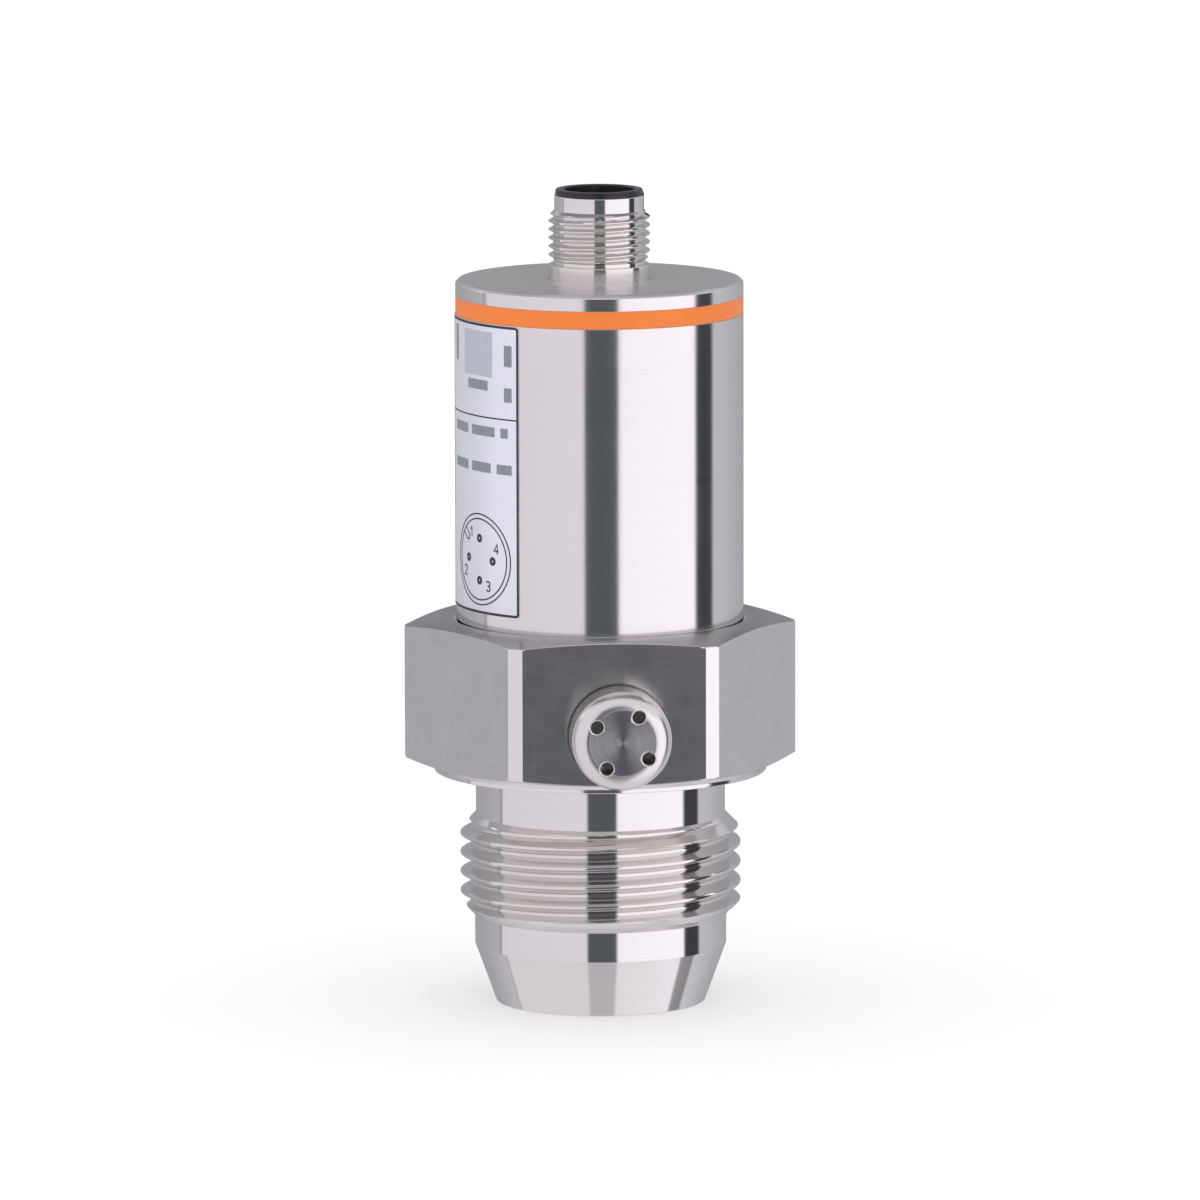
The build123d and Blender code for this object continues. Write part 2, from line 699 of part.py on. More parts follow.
def main_board():
    """Upright circuit board with a tongue at its head."""
    board = block(0, 0, BOARD_SEAT_Z, BOARD_W, BOARD_T, BOARD_SHOULDER_Z - BOARD_SEAT_Z)
    return board + block(0, 0, BOARD_SHOULDER_Z, TONGUE_W, BOARD_T, TONGUE_H)


def on_board(z, width, height, thickness, side):
    """Block on one face of the main board round height z; side is -1 for front and 1 for back."""
    y = side * (BOARD_T + thickness) / 2
    return block(0, y, z - height / 2, width, thickness, height)


def controller_chip():
    """Largest chip, on the front of the main board."""
    return on_board(BOARD_SEAT_Z + CHIP_RISE, CHIP_W, CHIP_W, CHIP_T, -1)


def converter_chip():
    """Smaller chip under the board's shoulders."""
    return on_board(BOARD_SHOULDER_Z - CONVERTER_DROP, CONVERTER_W, CONVERTER_W, CHIP_T, -1)


def output_driver():
    """Flat transistor on the back of the main board."""
    return on_board(BOARD_SEAT_Z + DRIVER_RISE, DRIVER_W, DRIVER_H, DRIVER_T, 1)


def board_capacitors():
    """Two round capacitors that stand out from the back of the main board."""
    y = BOARD_T / 2 + CAPACITOR_H / 2
    z = BOARD_SEAT_Z + CAPACITOR_RISE
    can = Rot(90, 0, 0) * Cylinder(CAPACITOR_D / 2, CAPACITOR_H)
    return [Pos(side * CAPACITOR_SPACING / 2, y, z) * can for side in (-1, 1)]


def board_header():
    """Contact block on the tongue's back, up to the plug's board."""
    y = (BOARD_T + HEADER_T) / 2
    return block(0, y, PLUG_BOARD_Z - HEADER_H, HEADER_W, HEADER_T, HEADER_H)


def plug_board():
    """Small round board under the plug's contacts."""
    return ring(0, PLUG_BOARD_D / 2, PLUG_BOARD_Z, PLUG_BOARD_T)


PIECES = {
    "process_fitting": process_fitting(),
    "housing_o_ring": housing_o_ring(),
    "housing_tube": housing_tube(),
    "colour_ring": colour_ring(),
    "end_cap": end_cap(),
    "cap_o_ring": cap_o_ring(),
    "plug_sleeve": plug_sleeve(),
    "plug_insert": plug_insert(),
    "plug_o_ring": plug_o_ring(),
    "label_foil": label_foil(),
    "vent_cover": vent_cover(),
    "vent_nipple": vent_nipple(),
    "vent_o_ring": vent_o_ring(),
    "vent_membrane": vent_membrane(),
    "membrane_ring": membrane_ring(),
    "cell_seal": cell_seal(),
    "cell_diaphragm": cell_diaphragm(),
    "cell_body": cell_body(),
    "cell_backing_ring": cell_backing_ring(),
    "cell_clamp_nut": cell_clamp_nut(),
    "cell_board": cell_board(),
    "cell_chip": cell_chip(),
    "lower_carrier": lower_carrier(),
    "upper_carrier": upper_carrier(),
    "insulating_sleeve": insulating_sleeve(),
    "main_board": main_board(),
    "controller_chip": controller_chip(),
    "converter_chip": converter_chip(),
    "output_driver": output_driver(),
    "board_header": board_header(),
    "plug_board": plug_board(),
}

GROUPS = {
    "cell_pins": cell_pins(),
    "cell_leads": cell_leads(),
    "board_capacitors": board_capacitors(),
}

for number, (contact_x, contact_y) in enumerate(contact_places(), start=1):
    PIECES[f"plug_pin_{number}"] = plug_pin(contact_x, contact_y)

os.makedirs("parts", exist_ok=True)
for name, piece in PIECES.items():
    export_step(one_solid(piece), f"parts/{name}.step")
for name, pieces in GROUPS.items():
    export_step(Compound(children=[one_solid(piece) for piece in pieces]), f"parts/{name}.step")
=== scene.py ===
import json
import math
from functools import partial

import bmesh
import bpy
from mathutils import Matrix, Quaternion, Vector


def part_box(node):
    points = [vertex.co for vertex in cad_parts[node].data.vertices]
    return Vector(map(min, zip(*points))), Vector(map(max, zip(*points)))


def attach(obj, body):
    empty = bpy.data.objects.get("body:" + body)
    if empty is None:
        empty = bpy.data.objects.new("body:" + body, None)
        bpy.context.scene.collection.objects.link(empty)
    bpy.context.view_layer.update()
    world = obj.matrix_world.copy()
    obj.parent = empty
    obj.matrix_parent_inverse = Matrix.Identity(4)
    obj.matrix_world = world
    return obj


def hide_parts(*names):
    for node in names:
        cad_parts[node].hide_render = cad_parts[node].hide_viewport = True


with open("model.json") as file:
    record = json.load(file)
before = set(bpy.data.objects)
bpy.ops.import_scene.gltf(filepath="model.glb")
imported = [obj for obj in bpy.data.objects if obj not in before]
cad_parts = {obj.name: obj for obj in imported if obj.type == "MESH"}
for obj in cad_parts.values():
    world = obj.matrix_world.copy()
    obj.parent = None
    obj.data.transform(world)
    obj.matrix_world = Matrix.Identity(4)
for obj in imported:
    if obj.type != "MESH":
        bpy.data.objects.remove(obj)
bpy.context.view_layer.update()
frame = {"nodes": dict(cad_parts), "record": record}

# Pressure sensor: turned and milled steel with true thread forms, label print, light and camera.
# Outlines are written in millimetres as (radius, height) and become metres when a mesh is made.
MM = 0.001
TURN = 2 * math.pi


def reach(node):
    """Lowest and highest corner of a CAD node in millimetres."""
    low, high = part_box(node)
    return low / MM, high / MM


TUBE_LOW, TUBE_HIGH = reach("housing_tube")
CAP_LOW, CAP_HIGH = reach("end_cap")
RING_LOW, RING_HIGH = reach("colour_ring")
SLEEVE_LOW, SLEEVE_HIGH = reach("plug_sleeve")
INSERT_LOW, INSERT_HIGH = reach("plug_insert")
FITTING_TOP_Z = reach("process_fitting")[1].z
COVER_LOW, COVER_HIGH = reach("vent_cover")
FOIL_LOW, FOIL_HIGH = reach("label_foil")
HOUSING_SEAL_LOW, HOUSING_SEAL_HIGH = reach("housing_o_ring")
CAP_SEAL_LOW, CAP_SEAL_HIGH = reach("cap_o_ring")

# How far edges are broken or rounded
EDGE_BREAK = 0.1
FINE_EDGE = 0.05
SEAT_BREAK = 0.05
FLANGE_ROOT_ROUND = 0.25
FLANGE_EDGE = 0.12
FOOT_EDGE = 0.15
TUBE_TOP_EDGE = 0.06
CAP_ROUND = 0.22
COLLAR_EDGE = 0.12
RIM_STEP_EDGE = 0.04
RIM_EDGE = 0.12
SOCKET_EDGE = 0.15

# Process fitting
FOOT_R = 12.4
LIP_R = 8.7
LIP_T = 1.0
CELL_BORE_R = 9.5
CONE_H = 6.9
LAND_R = FOOT_R + CONE_H * math.tan(math.radians(20))
THREAD_Z = 10.36
NECK_Z = 22.46
FLANGE_Z = 27.74
FLANGE_RIM_Z = 28.24
HEX_Z = 28.69
HEX_TOP_Z = 45.84
ROOT_R = 15.146
THREAD_R = 16.6245
THREAD_PITCH = 25.4 / 11
THREAD_CREST_W = 0.34
THREAD_FLANK = math.radians(27.5)
THREAD_ROUNDING = 0.3
THREAD_START = 102.0
NECK_R = 14.775
FLANGE_R = 19.7
HEX_SIDES = 6
HEX_FOOT_R = 20.15
HEX_FLAT_R = 20.5
HEX_CORNER_R = 23.15
HEX_EDGE_ANGLE = math.acos(HEX_FLAT_R / HEX_CORNER_R)
HEX_TOP_R = 19.5
HEX_TOP_SLOPE = math.tan(math.radians(12))
HEX_FOOT_SLOPE = math.tan(math.radians(13.8))
SEAT_GAP = 0.3
BOARD_BORE_R = 13.0
BOARD_SEAT_Z = HEX_TOP_Z - 7.85
SEAL_SQUEEZE = 0.01
SEAL_GROOVE_DEPTH = 1.1
SLIP_FIT = 0.03

# Tube, orange ring and cap
TUBE_R = TUBE_HIGH.x
TUBE_BORE_R = TUBE_R - 1.0
SPIGOT_R = TUBE_BORE_R - SLIP_FIT
CAP_PLATE_Z = RING_HIGH.z
CAP_WEB_Z = CAP_PLATE_Z - 1.5
CAP_BEVEL = 0.4
CAP_BORE_R = SPIGOT_R - 2.4

# Plug
COLLAR_R = 6.0
COLLAR_TOP_Z = CAP_HIGH.z + 1.8
RELIEF_R = 5.4
PLUG_THREAD_Z = COLLAR_TOP_Z + 0.4
PLUG_THREAD_R = 6.0
PLUG_ROOT_R = 5.42
PLUG_PITCH = 1.0
PLUG_CREST_W = 0.125
PLUG_FLANK = math.radians(30)
PLUG_ROUNDING = 0.12
PLUG_THREAD_START = 288.0
NOSE_Z = PLUG_THREAD_Z + 6.01
NOSE_R = 5.3
PLUG_BORE_R = 4.63
SHOULDER_R = SLEEVE_HIGH.x
KEY_ANGLE = math.radians(-8)
KEY_W = 1.16

# Vent cover, on an axis of its own that points out of the front flat
VENT_X = (COVER_LOW.x + COVER_HIGH.x) / 2
VENT_Z = (COVER_LOW.z + COVER_HIGH.z) / 2
VENT_R = (COVER_HIGH.x - COVER_LOW.x) / 2
VENT_BACK = COVER_HIGH.y
VENT_FRONT = COVER_LOW.y
VENT_ROUND = 1.95
VENT_BORE_R = VENT_R - 0.8
VENT_FACE_T = 1.2
VENT_FACE_STEP = 0.07
VENT_SEAT_R = VENT_R + 0.15
VENT_HOLE_R = 0.75
VENT_HOLE_PCR = 3.55
VENT_HOLE_ANGLE = math.radians(58)
VENT_HOLE_COUNT = 4
VENT_HOLE_ROUND = 0.17

# Plug insert
INSERT_R = 4.6
INSERT_RIM_R = 5.2
RIM_STEP = 0.4
RIM_STEP_IN = 0.06
INSERT_GROOVE_DEPTH = 0.6
INSERT_GROOVE_LOW = CAP_WEB_Z + 1.2
INSERT_GROOVE_HIGH = INSERT_GROOVE_LOW + 1.0
SOCKET_R = 4.15
SOCKET_DEPTH = 8.5
SOCKET_KEY_W = 1.0
SOCKET_KEY_H = 0.6
KEY_SUNK = 0.2
NOSE_KEY_W = 1.1
CONTACT_R = 0.5
CONTACT_SPACING = 4.0
CONTACT_RECESS = 1.4

# Label print: places are lengths along the foil from its front edge, and heights
FOIL_T = 0.1
LABEL_R = TUBE_R + FOIL_T
LABEL_EDGE_ANGLE = -38.3
LABEL_WRAP_ANGLE = 125.0
INK_T = 0.015
PRINT_LINE = 0.17
FRAME_LINE = 0.3
PRINT_MARGIN = 0.16
PRINT_CORNER = 0.3
PRINT_STEP = 0.8
PRINT_COLUMN = 15.2
DIVIDER_Z = 71.05
BAR_WIDTH = 1.15
WORD_BARS = [
    (69.4, [(13.4, 9.2), (8.2, 3.7), (2.7, 1.6)]),
    (65.1, [(13.4, 9.2), (8.2, 4.4), (3.35, 1.0)]),
    (74.8, [(9.1, 4.9)]),
    (78.6, [(35.6, 27.0), (25.4, 18.0)]),
    (75.4, [(35.6, 23.0)]),
    (68.4, [(35.6, 29.4), (27.8, 17.4)]),
    (65.2, [(35.6, 26.0), (24.4, 20.2)]),
    (56.0, [(35.6, 30.2), (28.6, 19.6)]),
    (52.8, [(35.6, 24.8)]),
]
UPRIGHT_BARS = [(1.55, [(77.3, 79.8), (73.1, 74.8)]), (13.0, [(77.1, 81.3)])]
PALE_FIELD = (-10.1, -4.1, 78.5)
FIELD_HEIGHT = 5.3
DIAGRAM_PLACE = (-6.6, 54.1)
DIAGRAM_RADII = (5.38, 4.8)
DIAGRAM_KEY = (0.42, 1.1)
DIAGRAM_KEY_ANGLE = math.radians(137)
DIAGRAM_KEY_GAP = 0.1
CONTACT_DOT = (0.32, 0.4)
DIAGRAM_CONTACTS = [
    (1, (0, 2.5), (-1.8, 3.1)),
    (2, (-2.5, 0), (-3.3, -1.6)),
    (3, (0, -2.5), (1.7, -3.05)),
    (4, (2.5, 0), (3.1, 1.5)),
]
# Digits are drawn along points of a cell one wide and one high, about a middle of their own
DIGIT_SIZE = 1.15
DIGIT_LINE = 0.18
DIGIT_MIDDLE = Vector((0.3, 0.5))
DIGITS = {
    1: [(0.1, 0.72), (0.38, 1), (0.38, 0)],
    2: [(0, 0.78), (0.1, 0.94), (0.3, 1), (0.5, 0.94), (0.6, 0.76), (0.52, 0.54), (0, 0), (0.62, 0)],
    3: [
        (0, 0.86), (0.14, 0.97), (0.32, 1), (0.52, 0.92), (0.58, 0.74), (0.48, 0.57), (0.26, 0.52),
        (0.5, 0.46), (0.61, 0.27), (0.53, 0.08), (0.3, 0), (0.12, 0.03), (0, 0.14),
    ],
    4: [(0.47, 0), (0.47, 1), (0, 0.3), (0.65, 0.3)],
}

# How finely round things are divided
FITTING_COLUMNS = 288
FITTING_ROWS_PER_TURN = 24
PLUG_COLUMNS = 160
PLUG_ROWS_PER_TURN = 20
ROUND_COLUMNS = 192
HOLE_COLUMNS = 48
CONTACT_COLUMNS = 32
PRINT_CIRCLE_POINTS = 64
ARC_STEPS = 4
MERGE = 2e-6
SHARP_ANGLE = math.radians(28)

# Surfaces: the darkest shade and the roughness that marks bring, and the height of their relief in metres
TURNED_LOOK = (0.88, (0.3, 1.7), 0.00002)
TURNED_MARK_SHARE = 0.65
TURNED_SMUDGE_SIZE = 7.0
MILLED_LOOK = (0.72, (0.6, 1.4), 0.00002)
MILLED_MARK_SHARE = 0.5
MILLED_SMUDGE_SIZE = 5.0
MILLED_LINES = 2.2
MILLED_ANISOTROPY = 0.85
MOULDED_LOOK = ((0.85, 1.15), 0.00003)
WIDE_RINGS = 0.12
STEEL = (0.8, 0.77, 0.735)
VENT_STEEL = (0.6, 0.585, 0.57)
# Darker copy of the steel: painted shade on the hexagon's faced top and in the vent's seat
SHADE_PAINTED_STEEL = (0.45, 0.44, 0.43)

# Camera, and what the steel reflects, in degrees; azimuths run from -Y towards +X
CAMERA_DEGREES = -4.6
CAMERA_AZIMUTH = math.radians(CAMERA_DEGREES)
CAMERA_ELEVATION = math.radians(8.4)
CAMERA_DISTANCE = 1.45
CAMERA_TARGET_Z = 47.8
CAMERA_ROLL = math.radians(-0.12)
CAMERA_REACH = 20
FRAME_WIDTH = 142.0
SENSOR_WIDTH = 36.0
BRIGHT_TINT = (1.0, 0.965, 1.08)
DARK_TINT = (0.9, 1.0, 1.17)
BACK_TINT = (0.975, 1.0, 1.1)
CARD_GAIN = 2.0
CARD_SOFTNESS = 0.7
CARD_WIDENING = ((-0.96, -0.46), (0.675, 1.0))
CARD_BANDS = [
    (-180, -105.5, 0.36, 0.56, BACK_TINT),
    (-105.5, -104, 0.08, 0.08, DARK_TINT),
    (-104, -12, 0.86, 0.93, BRIGHT_TINT),
    (-12, 15, 0.12, 0.12, DARK_TINT),
    (15, 83, 1.22, 1.3, BRIGHT_TINT),
    (83, 102.5, 0.06, 0.06, DARK_TINT),
    (102.5, 180, 0.68, 0.36, BACK_TINT),
]
HEIGHT_BLENDS = [(-22, -75, (0.83, 0.81, 0.88, 1)), (18, 27, (0.88, 0.86, 0.94, 1))]
CEILING = (0.24, 0.25, 0.28, 1)
LAMP = (2.0, 2.0, 2.1, 1)
DISC_CORE = 0.7
DISCS = [
    (CAMERA_DEGREES + 180, 62, 48, CEILING),
    (-125, 25, 5, LAMP),
    (-150, 71, 6, LAMP),
    (135, 41, 4.5, LAMP),
]
FLOOR_SIZE = 3.0
FLOOR_COLOUR = (0.85, 0.85, 0.85, 1)
FLOOR_GLOW = 0.2


# Node helpers
def link(tree, source, target):
    """Connects a socket, or sets the plain value, on a target socket."""
    if isinstance(source, bpy.types.NodeSocket):
        tree.links.new(source, target)
    else:
        target.default_value = source


def add_node(tree, kind, inputs=None, **settings):
    """Node with its settings, and with sockets or plain values on its inputs; gives its outputs."""
    node = tree.nodes.new(kind)
    for name, value in settings.items():
        setattr(node, name, value)
    for key, value in (inputs or {}).items():
        link(tree, value, node.inputs[key])
    return node.outputs


def new_material(name):
    """Material with nodes, and its Principled shader."""
    material = bpy.data.materials.new(name)
    material.use_nodes = True
    return material, material.node_tree, material.node_tree.nodes["Principled BSDF"]


def math_node(tree, operation, *values):
    """Math node on sockets or numbers; gives its result."""
    return add_node(tree, "ShaderNodeMath", dict(enumerate(values)), operation=operation)[0]


def combine(tree, x, y, z):
    """Vector from three sockets or numbers."""
    return add_node(tree, "ShaderNodeCombineXYZ", {0: x, 1: y, 2: z})[0]


def separate(tree, vector):
    """X, Y and Z sockets of a vector."""
    return add_node(tree, "ShaderNodeSeparateXYZ", {0: vector})


def scaled(tree, vector, factor):
    """Vector times a factor."""
    return add_node(tree, "ShaderNodeVectorMath", {0: vector, "Scale": factor}, operation="SCALE")[0]


def noise(tree, vector, scale, detail, w=None):
    """Noise value on a vector, with a fourth coordinate if one is given."""
    inputs = {"Vector": vector, "Scale": scale, "Detail": detail}
    if w is None:
        return add_node(tree, "ShaderNodeTexNoise", inputs)[0]
    return add_node(tree, "ShaderNodeTexNoise", {**inputs, "W": w}, noise_dimensions="4D")[0]


def map_range(tree, value, before, after=(0.0, 1.0), interpolation="LINEAR"):
    """Maps a value from one range onto another, and holds it at the ends."""
    names = ("Value", "From Min", "From Max", "To Min", "To Max")
    inputs = dict(zip(names, (value, *before, *after)))
    return add_node(tree, "ShaderNodeMapRange", inputs, interpolation_type=interpolation)[0]


def mix_colour(tree, factor, first, second):
    """Mixes two colours given as sockets or tuples."""
    return add_node(tree, "ShaderNodeMix", {0: factor, 6: first, 7: second}, data_type="RGBA")[2]


def blend(tree, first, share, second):
    """Takes a share of the first value and the rest of the second."""
    return math_node(tree, "MULTIPLY_ADD", first, share, math_node(tree, "MULTIPLY", second, 1 - share))


def object_coordinates(tree, centre=(0, 0, 0), tilt=(0, 0, 0)):
    """Object coordinates in millimetres about a centre, turned so that the piece's axis is Z."""
    source = add_node(tree, "ShaderNodeTexCoord")["Object"]
    inputs = {"Vector": source, "Location": Vector(centre) * MM, "Rotation": tilt, "Scale": (MM, MM, MM)}
    return add_node(tree, "ShaderNodeMapping", inputs, vector_type="TEXTURE")[0]


def node_group(name, number, value, *results):
    """Shader node group that takes a vector and one number, and gives values."""
    tree = bpy.data.node_groups.new(name, "ShaderNodeTree")
    tree.interface.new_socket("Vector", in_out="INPUT", socket_type="NodeSocketVector")
    socket = tree.interface.new_socket(number, in_out="INPUT", socket_type="NodeSocketFloat")
    socket.default_value = value
    for label in results:
        tree.interface.new_socket(label, in_out="OUTPUT", socket_type="NodeSocketFloat")
    given = tree.nodes.new("NodeGroupInput").outputs
    return tree, given, tree.nodes.new("NodeGroupOutput").inputs


def use_group(tree, group, vector, number):
    """Places a group in a material; gives its outputs."""
    return add_node(tree, "ShaderNodeGroup", {0: vector, 1: number}, node_tree=group)


# Shared surface effects
def make_turning_marks():
    """Fine rings left by the lathe: height and tone from the radius and the height."""
    tree, given, out = node_group("turning_marks", "Lines per mm", 4.0, "Height", "Tone")
    calc = partial(math_node, tree)
    x, y, z = separate(tree, given["Vector"])
    radius = calc("SQRT", calc("ADD", calc("MULTIPLY", x, x), calc("MULTIPLY", y, y)))
    along = calc("MULTIPLY", z, given["Lines per mm"])
    across = calc("MULTIPLY", radius, given["Lines per mm"])
    rings = combine(tree, calc("DIVIDE", x, radius), calc("DIVIDE", y, radius), across)
    fine = noise(tree, rings, 1.0, 3.0, along)
    wide = noise(tree, rings, WIDE_RINGS, 1.0, calc("MULTIPLY", along, WIDE_RINGS))
    link(tree, fine, out["Height"])
    link(tree, blend(tree, wide, 0.5, fine), out["Tone"])
    return tree


def make_milled_grain():
    """Fine level and upright scratches on a flat, with soft mottling."""
    tree, given, out = node_group("milled_grain", "Lines per mm", 3.0, "Height", "Tone")
    calc = partial(math_node, tree)
    x, y, z = separate(tree, given["Vector"])
    lines = calc("MULTIPLY", z, given["Lines per mm"])
    along = calc("MULTIPLY_ADD", y, 1.3, x)
    level = noise(tree, combine(tree, calc("MULTIPLY", along, 0.18), 0.0, lines), 1.0, 3.0)
    across = calc("MULTIPLY", along, given["Lines per mm"])
    upright = noise(tree, combine(tree, across, 5.0, calc("MULTIPLY", z, 0.3)), 1.0, 3.0)
    scratches = blend(tree, upright, 0.4, level)
    mottle = noise(tree, given["Vector"], 0.3, 3.0)
    link(tree, scratches, out["Height"])
    link(tree, blend(tree, mottle, 0.4, scratches), out["Tone"])
    return tree


def make_handling_marks():
    """Wide, soft smudges that change how sharply a surface reflects."""
    tree, given, out = node_group("handling_marks", "Size", 9.0, "Smudge")
    place = scaled(tree, given["Vector"], math_node(tree, "DIVIDE", 1.0, given["Size"]))
    link(tree, noise(tree, place, 1.0, 4.0), out["Smudge"])
    return tree


def make_moulded_grain():
    """Fine grain and slight unevenness of a moulded or printed surface."""
    tree, given, out = node_group("moulded_grain", "Grains per mm", 7.0, "Height", "Tone")
    place = scaled(tree, given["Vector"], given["Grains per mm"])
    link(tree, noise(tree, place, 1.0, 3.0), out["Height"])
    link(tree, noise(tree, given["Vector"], 0.25, 3.0), out["Tone"])
    return tree


TURNING_MARKS = make_turning_marks()
MILLED_GRAIN = make_milled_grain()
HANDLING_MARKS = make_handling_marks()
MOULDED_GRAIN = make_moulded_grain()


# Materials
def show_marks(tree, shader, marks, unevenness, colour, roughness, relief, look):
    """Colour, roughness and relief of a surface, each led by its marks."""
    darkest, (sharpest, dullest), depth = look
    darker = tuple(value * darkest for value in colour)
    tone = mix_colour(tree, marks["Tone"], (*darker, 1), (*colour, 1))
    gloss = map_range(tree, unevenness, (0.0, 1.0), (roughness * sharpest, roughness * dullest))
    inputs = {"Strength": relief, "Distance": depth, "Height": marks["Height"]}
    link(tree, tone, shader.inputs["Base Color"])
    link(tree, gloss, shader.inputs["Roughness"])
    link(tree, add_node(tree, "ShaderNodeBump", inputs)[0], shader.inputs["Normal"])


def make_metal(tree, shader, anisotropy, axis):
    """Turns a surface into metal, with its grain laid round an axis."""
    tangent = add_node(tree, "ShaderNodeTangent", direction_type="RADIAL", axis=axis)
    shader.inputs["Metallic"].default_value = 1.0
    shader.inputs["Anisotropic"].default_value = anisotropy
    shader.inputs["Anisotropic Rotation"].default_value = 0.25
    link(tree, tangent[0], shader.inputs["Tangent"])


def turned_steel(name, colour, roughness, lines=4.0, relief=0.1, anisotropy=0.5, centre=None, axis="Z"):
    """Steel with rings from the lathe about an axis: sharp round it and softer along it."""
    material, tree, shader = new_material(name)
    place = object_coordinates(tree) if centre is None else object_coordinates(tree, centre, TILT_TO_FRONT)
    marks = use_group(tree, TURNING_MARKS, place, lines)
    smudge = use_group(tree, HANDLING_MARKS, place, TURNED_SMUDGE_SIZE)[0]
    uneven = blend(tree, marks["Tone"], TURNED_MARK_SHARE, smudge)
    show_marks(tree, shader, marks, uneven, colour, roughness, relief, TURNED_LOOK)
    make_metal(tree, shader, anisotropy, axis)
    return material


def milled_steel(name, colour, roughness, relief):
    """Steel flat with fine scratches both ways and soft mottling."""
    material, tree, shader = new_material(name)
    place = object_coordinates(tree)
    grain = use_group(tree, MILLED_GRAIN, place, MILLED_LINES)
    smudge = use_group(tree, HANDLING_MARKS, place, MILLED_SMUDGE_SIZE)[0]
    uneven = blend(tree, grain["Tone"], MILLED_MARK_SHARE, smudge)
    show_marks(tree, shader, grain, uneven, colour, roughness, relief, MILLED_LOOK)
    make_metal(tree, shader, MILLED_ANISOTROPY, "Z")
    return material


def moulded(name, colour, roughness, relief=0.1, grains=4.0, contrast=0.06, metallic=0.0):
    """Plastic, rubber, film or ceramic with a fine grain and slight unevenness of colour."""
    material, tree, shader = new_material(name)
    grain = use_group(tree, MOULDED_GRAIN, object_coordinates(tree), grains)
    shader.inputs["Metallic"].default_value = metallic
    show_marks(tree, shader, grain, grain["Tone"], colour, roughness, relief, (1 - contrast, *MOULDED_LOOK))
    return material


TILT_TO_FRONT = (math.radians(90), 0, 0)
VENT_AXIS = (VENT_X, 0, VENT_Z)
FITTING_TURNED = turned_steel("fitting_turned_steel", STEEL, 0.1)
FITTING_MILLED = milled_steel("fitting_milled_steel", STEEL, 0.2, relief=0.04)
# Faced top and vent seat: real faced turning marks, with a darkened colour that is painted shade
FITTING_FACED_AND_SHADED = turned_steel("fitting_faced_painted_shade_steel", SHADE_PAINTED_STEEL, 0.28, lines=3.0, relief=0.12)
HOUSING = turned_steel("housing_turned_steel", STEEL, 0.13, lines=4.5)
CAP_FACE = turned_steel("cap_faced_steel", STEEL, 0.36, lines=3.0, relief=0.12)
PLUG = turned_steel("plug_turned_steel", STEEL, 0.11)
VENT_POLISHED = turned_steel("vent_polished_steel", STEEL, 0.24, 4.0, 0.03, 0.2, VENT_AXIS, "Y")
VENT_FACED = turned_steel("vent_faced_steel", VENT_STEEL, 0.17, 4.0, 0.1, 1.0, VENT_AXIS, "Y")
ORANGE = moulded("ring_orange", (1.0, 0.24, 0.035), 0.42, relief=0.05, contrast=0.03)
BLACK = moulded("insert_black", (0.012, 0.014, 0.016), 0.32, relief=0.15)
FILM = moulded("label_film", (0.86, 0.86, 0.93), 0.4, relief=0.04, contrast=0.03, metallic=0.5)
INK = moulded("label_ink", (0.02, 0.027, 0.034), 0.45)
GREY_INK = moulded("label_grey_ink", (0.26, 0.28, 0.32), 0.45)
PALE_INK = moulded("label_pale_ink", (0.5, 0.53, 0.6), 0.45)

SLOT_MATERIALS = {
    "fitting_steel": FITTING_TURNED,
    "housing_steel": HOUSING,
    "plug_steel": PLUG,
    "vent_steel": VENT_POLISHED,
    "orange_plastic": ORANGE,
    "black_plastic": BLACK,
    "label_film": FILM,
    "seal_rubber": moulded("seal_rubber", (0.025, 0.025, 0.025), 0.6, relief=0.3),
    "seal_white": moulded("seal_white", (0.82, 0.82, 0.8), 0.4),
    "filter_white": moulded("filter_white", (0.78, 0.78, 0.76), 0.8, relief=0.6, grains=5.0),
    "ceramic": moulded("cell_ceramic", (0.84, 0.82, 0.76), 0.28, grains=5.0),
    "contact_gold": turned_steel("contact_gold", (0.83, 0.6, 0.24), 0.2),
    "board_green": moulded("board_green", (0.02, 0.17, 0.07), 0.35, contrast=0.3),
    "chip_black": moulded("chip_black", (0.03, 0.03, 0.032), 0.55, relief=0.4),
    "capacitor_can": turned_steel("capacitor_can", (0.75, 0.75, 0.77), 0.25),
    "lead_red": moulded("lead_red", (0.5, 0.04, 0.035), 0.4),
    "carrier_plastic": moulded("carrier_natural", (0.7, 0.69, 0.64), 0.45, relief=0.15),
}


def dress_cad_nodes():
    """Gives each CAD node the node-based material of its slot."""
    for part in frame["record"]["subparts"]:
        for slot in frame["nodes"][part["node"]].material_slots:
            slot.material = SLOT_MATERIALS[part["material_slot"]]


# Turned outlines
def rounded(corners):
    """Closed outline from (radius, height, edge radius) corners, with an arc at each broken edge."""
    points = []
    for index, (r, z, edge) in enumerate(corners):
        corner = Vector((r, z))
        if edge == 0:
            points.append(corner)
            continue
        before = (Vector(corners[index - 1][:2]) - corner).normalized()
        after = (Vector(corners[(index + 1) % len(corners)][:2]) - corner).normalized()
        half = before.angle(after) / 2
        centre = corner + (before + after).normalized() * edge / math.sin(half)
        start = corner + before * edge / math.tan(half) - centre
        sweep = start.angle_signed(corner + after * edge / math.tan(half) - centre)
        for step in range(ARC_STEPS + 1):
            angle = -sweep * step / ARC_STEPS
            points.append(centre + Matrix.Rotation(angle, 2) @ start)
    return points


def even_angles(columns):
    """Equal steps round the axis."""
    return [TURN * i / columns for i in range(columns)]


def turned_vertex(mesh, r, z, angle):
    """Vertex at a radius, height and angle round Z, from millimetres."""
    return mesh.verts.new((r * math.cos(angle) * MM, r * math.sin(angle) * MM, z * MM))


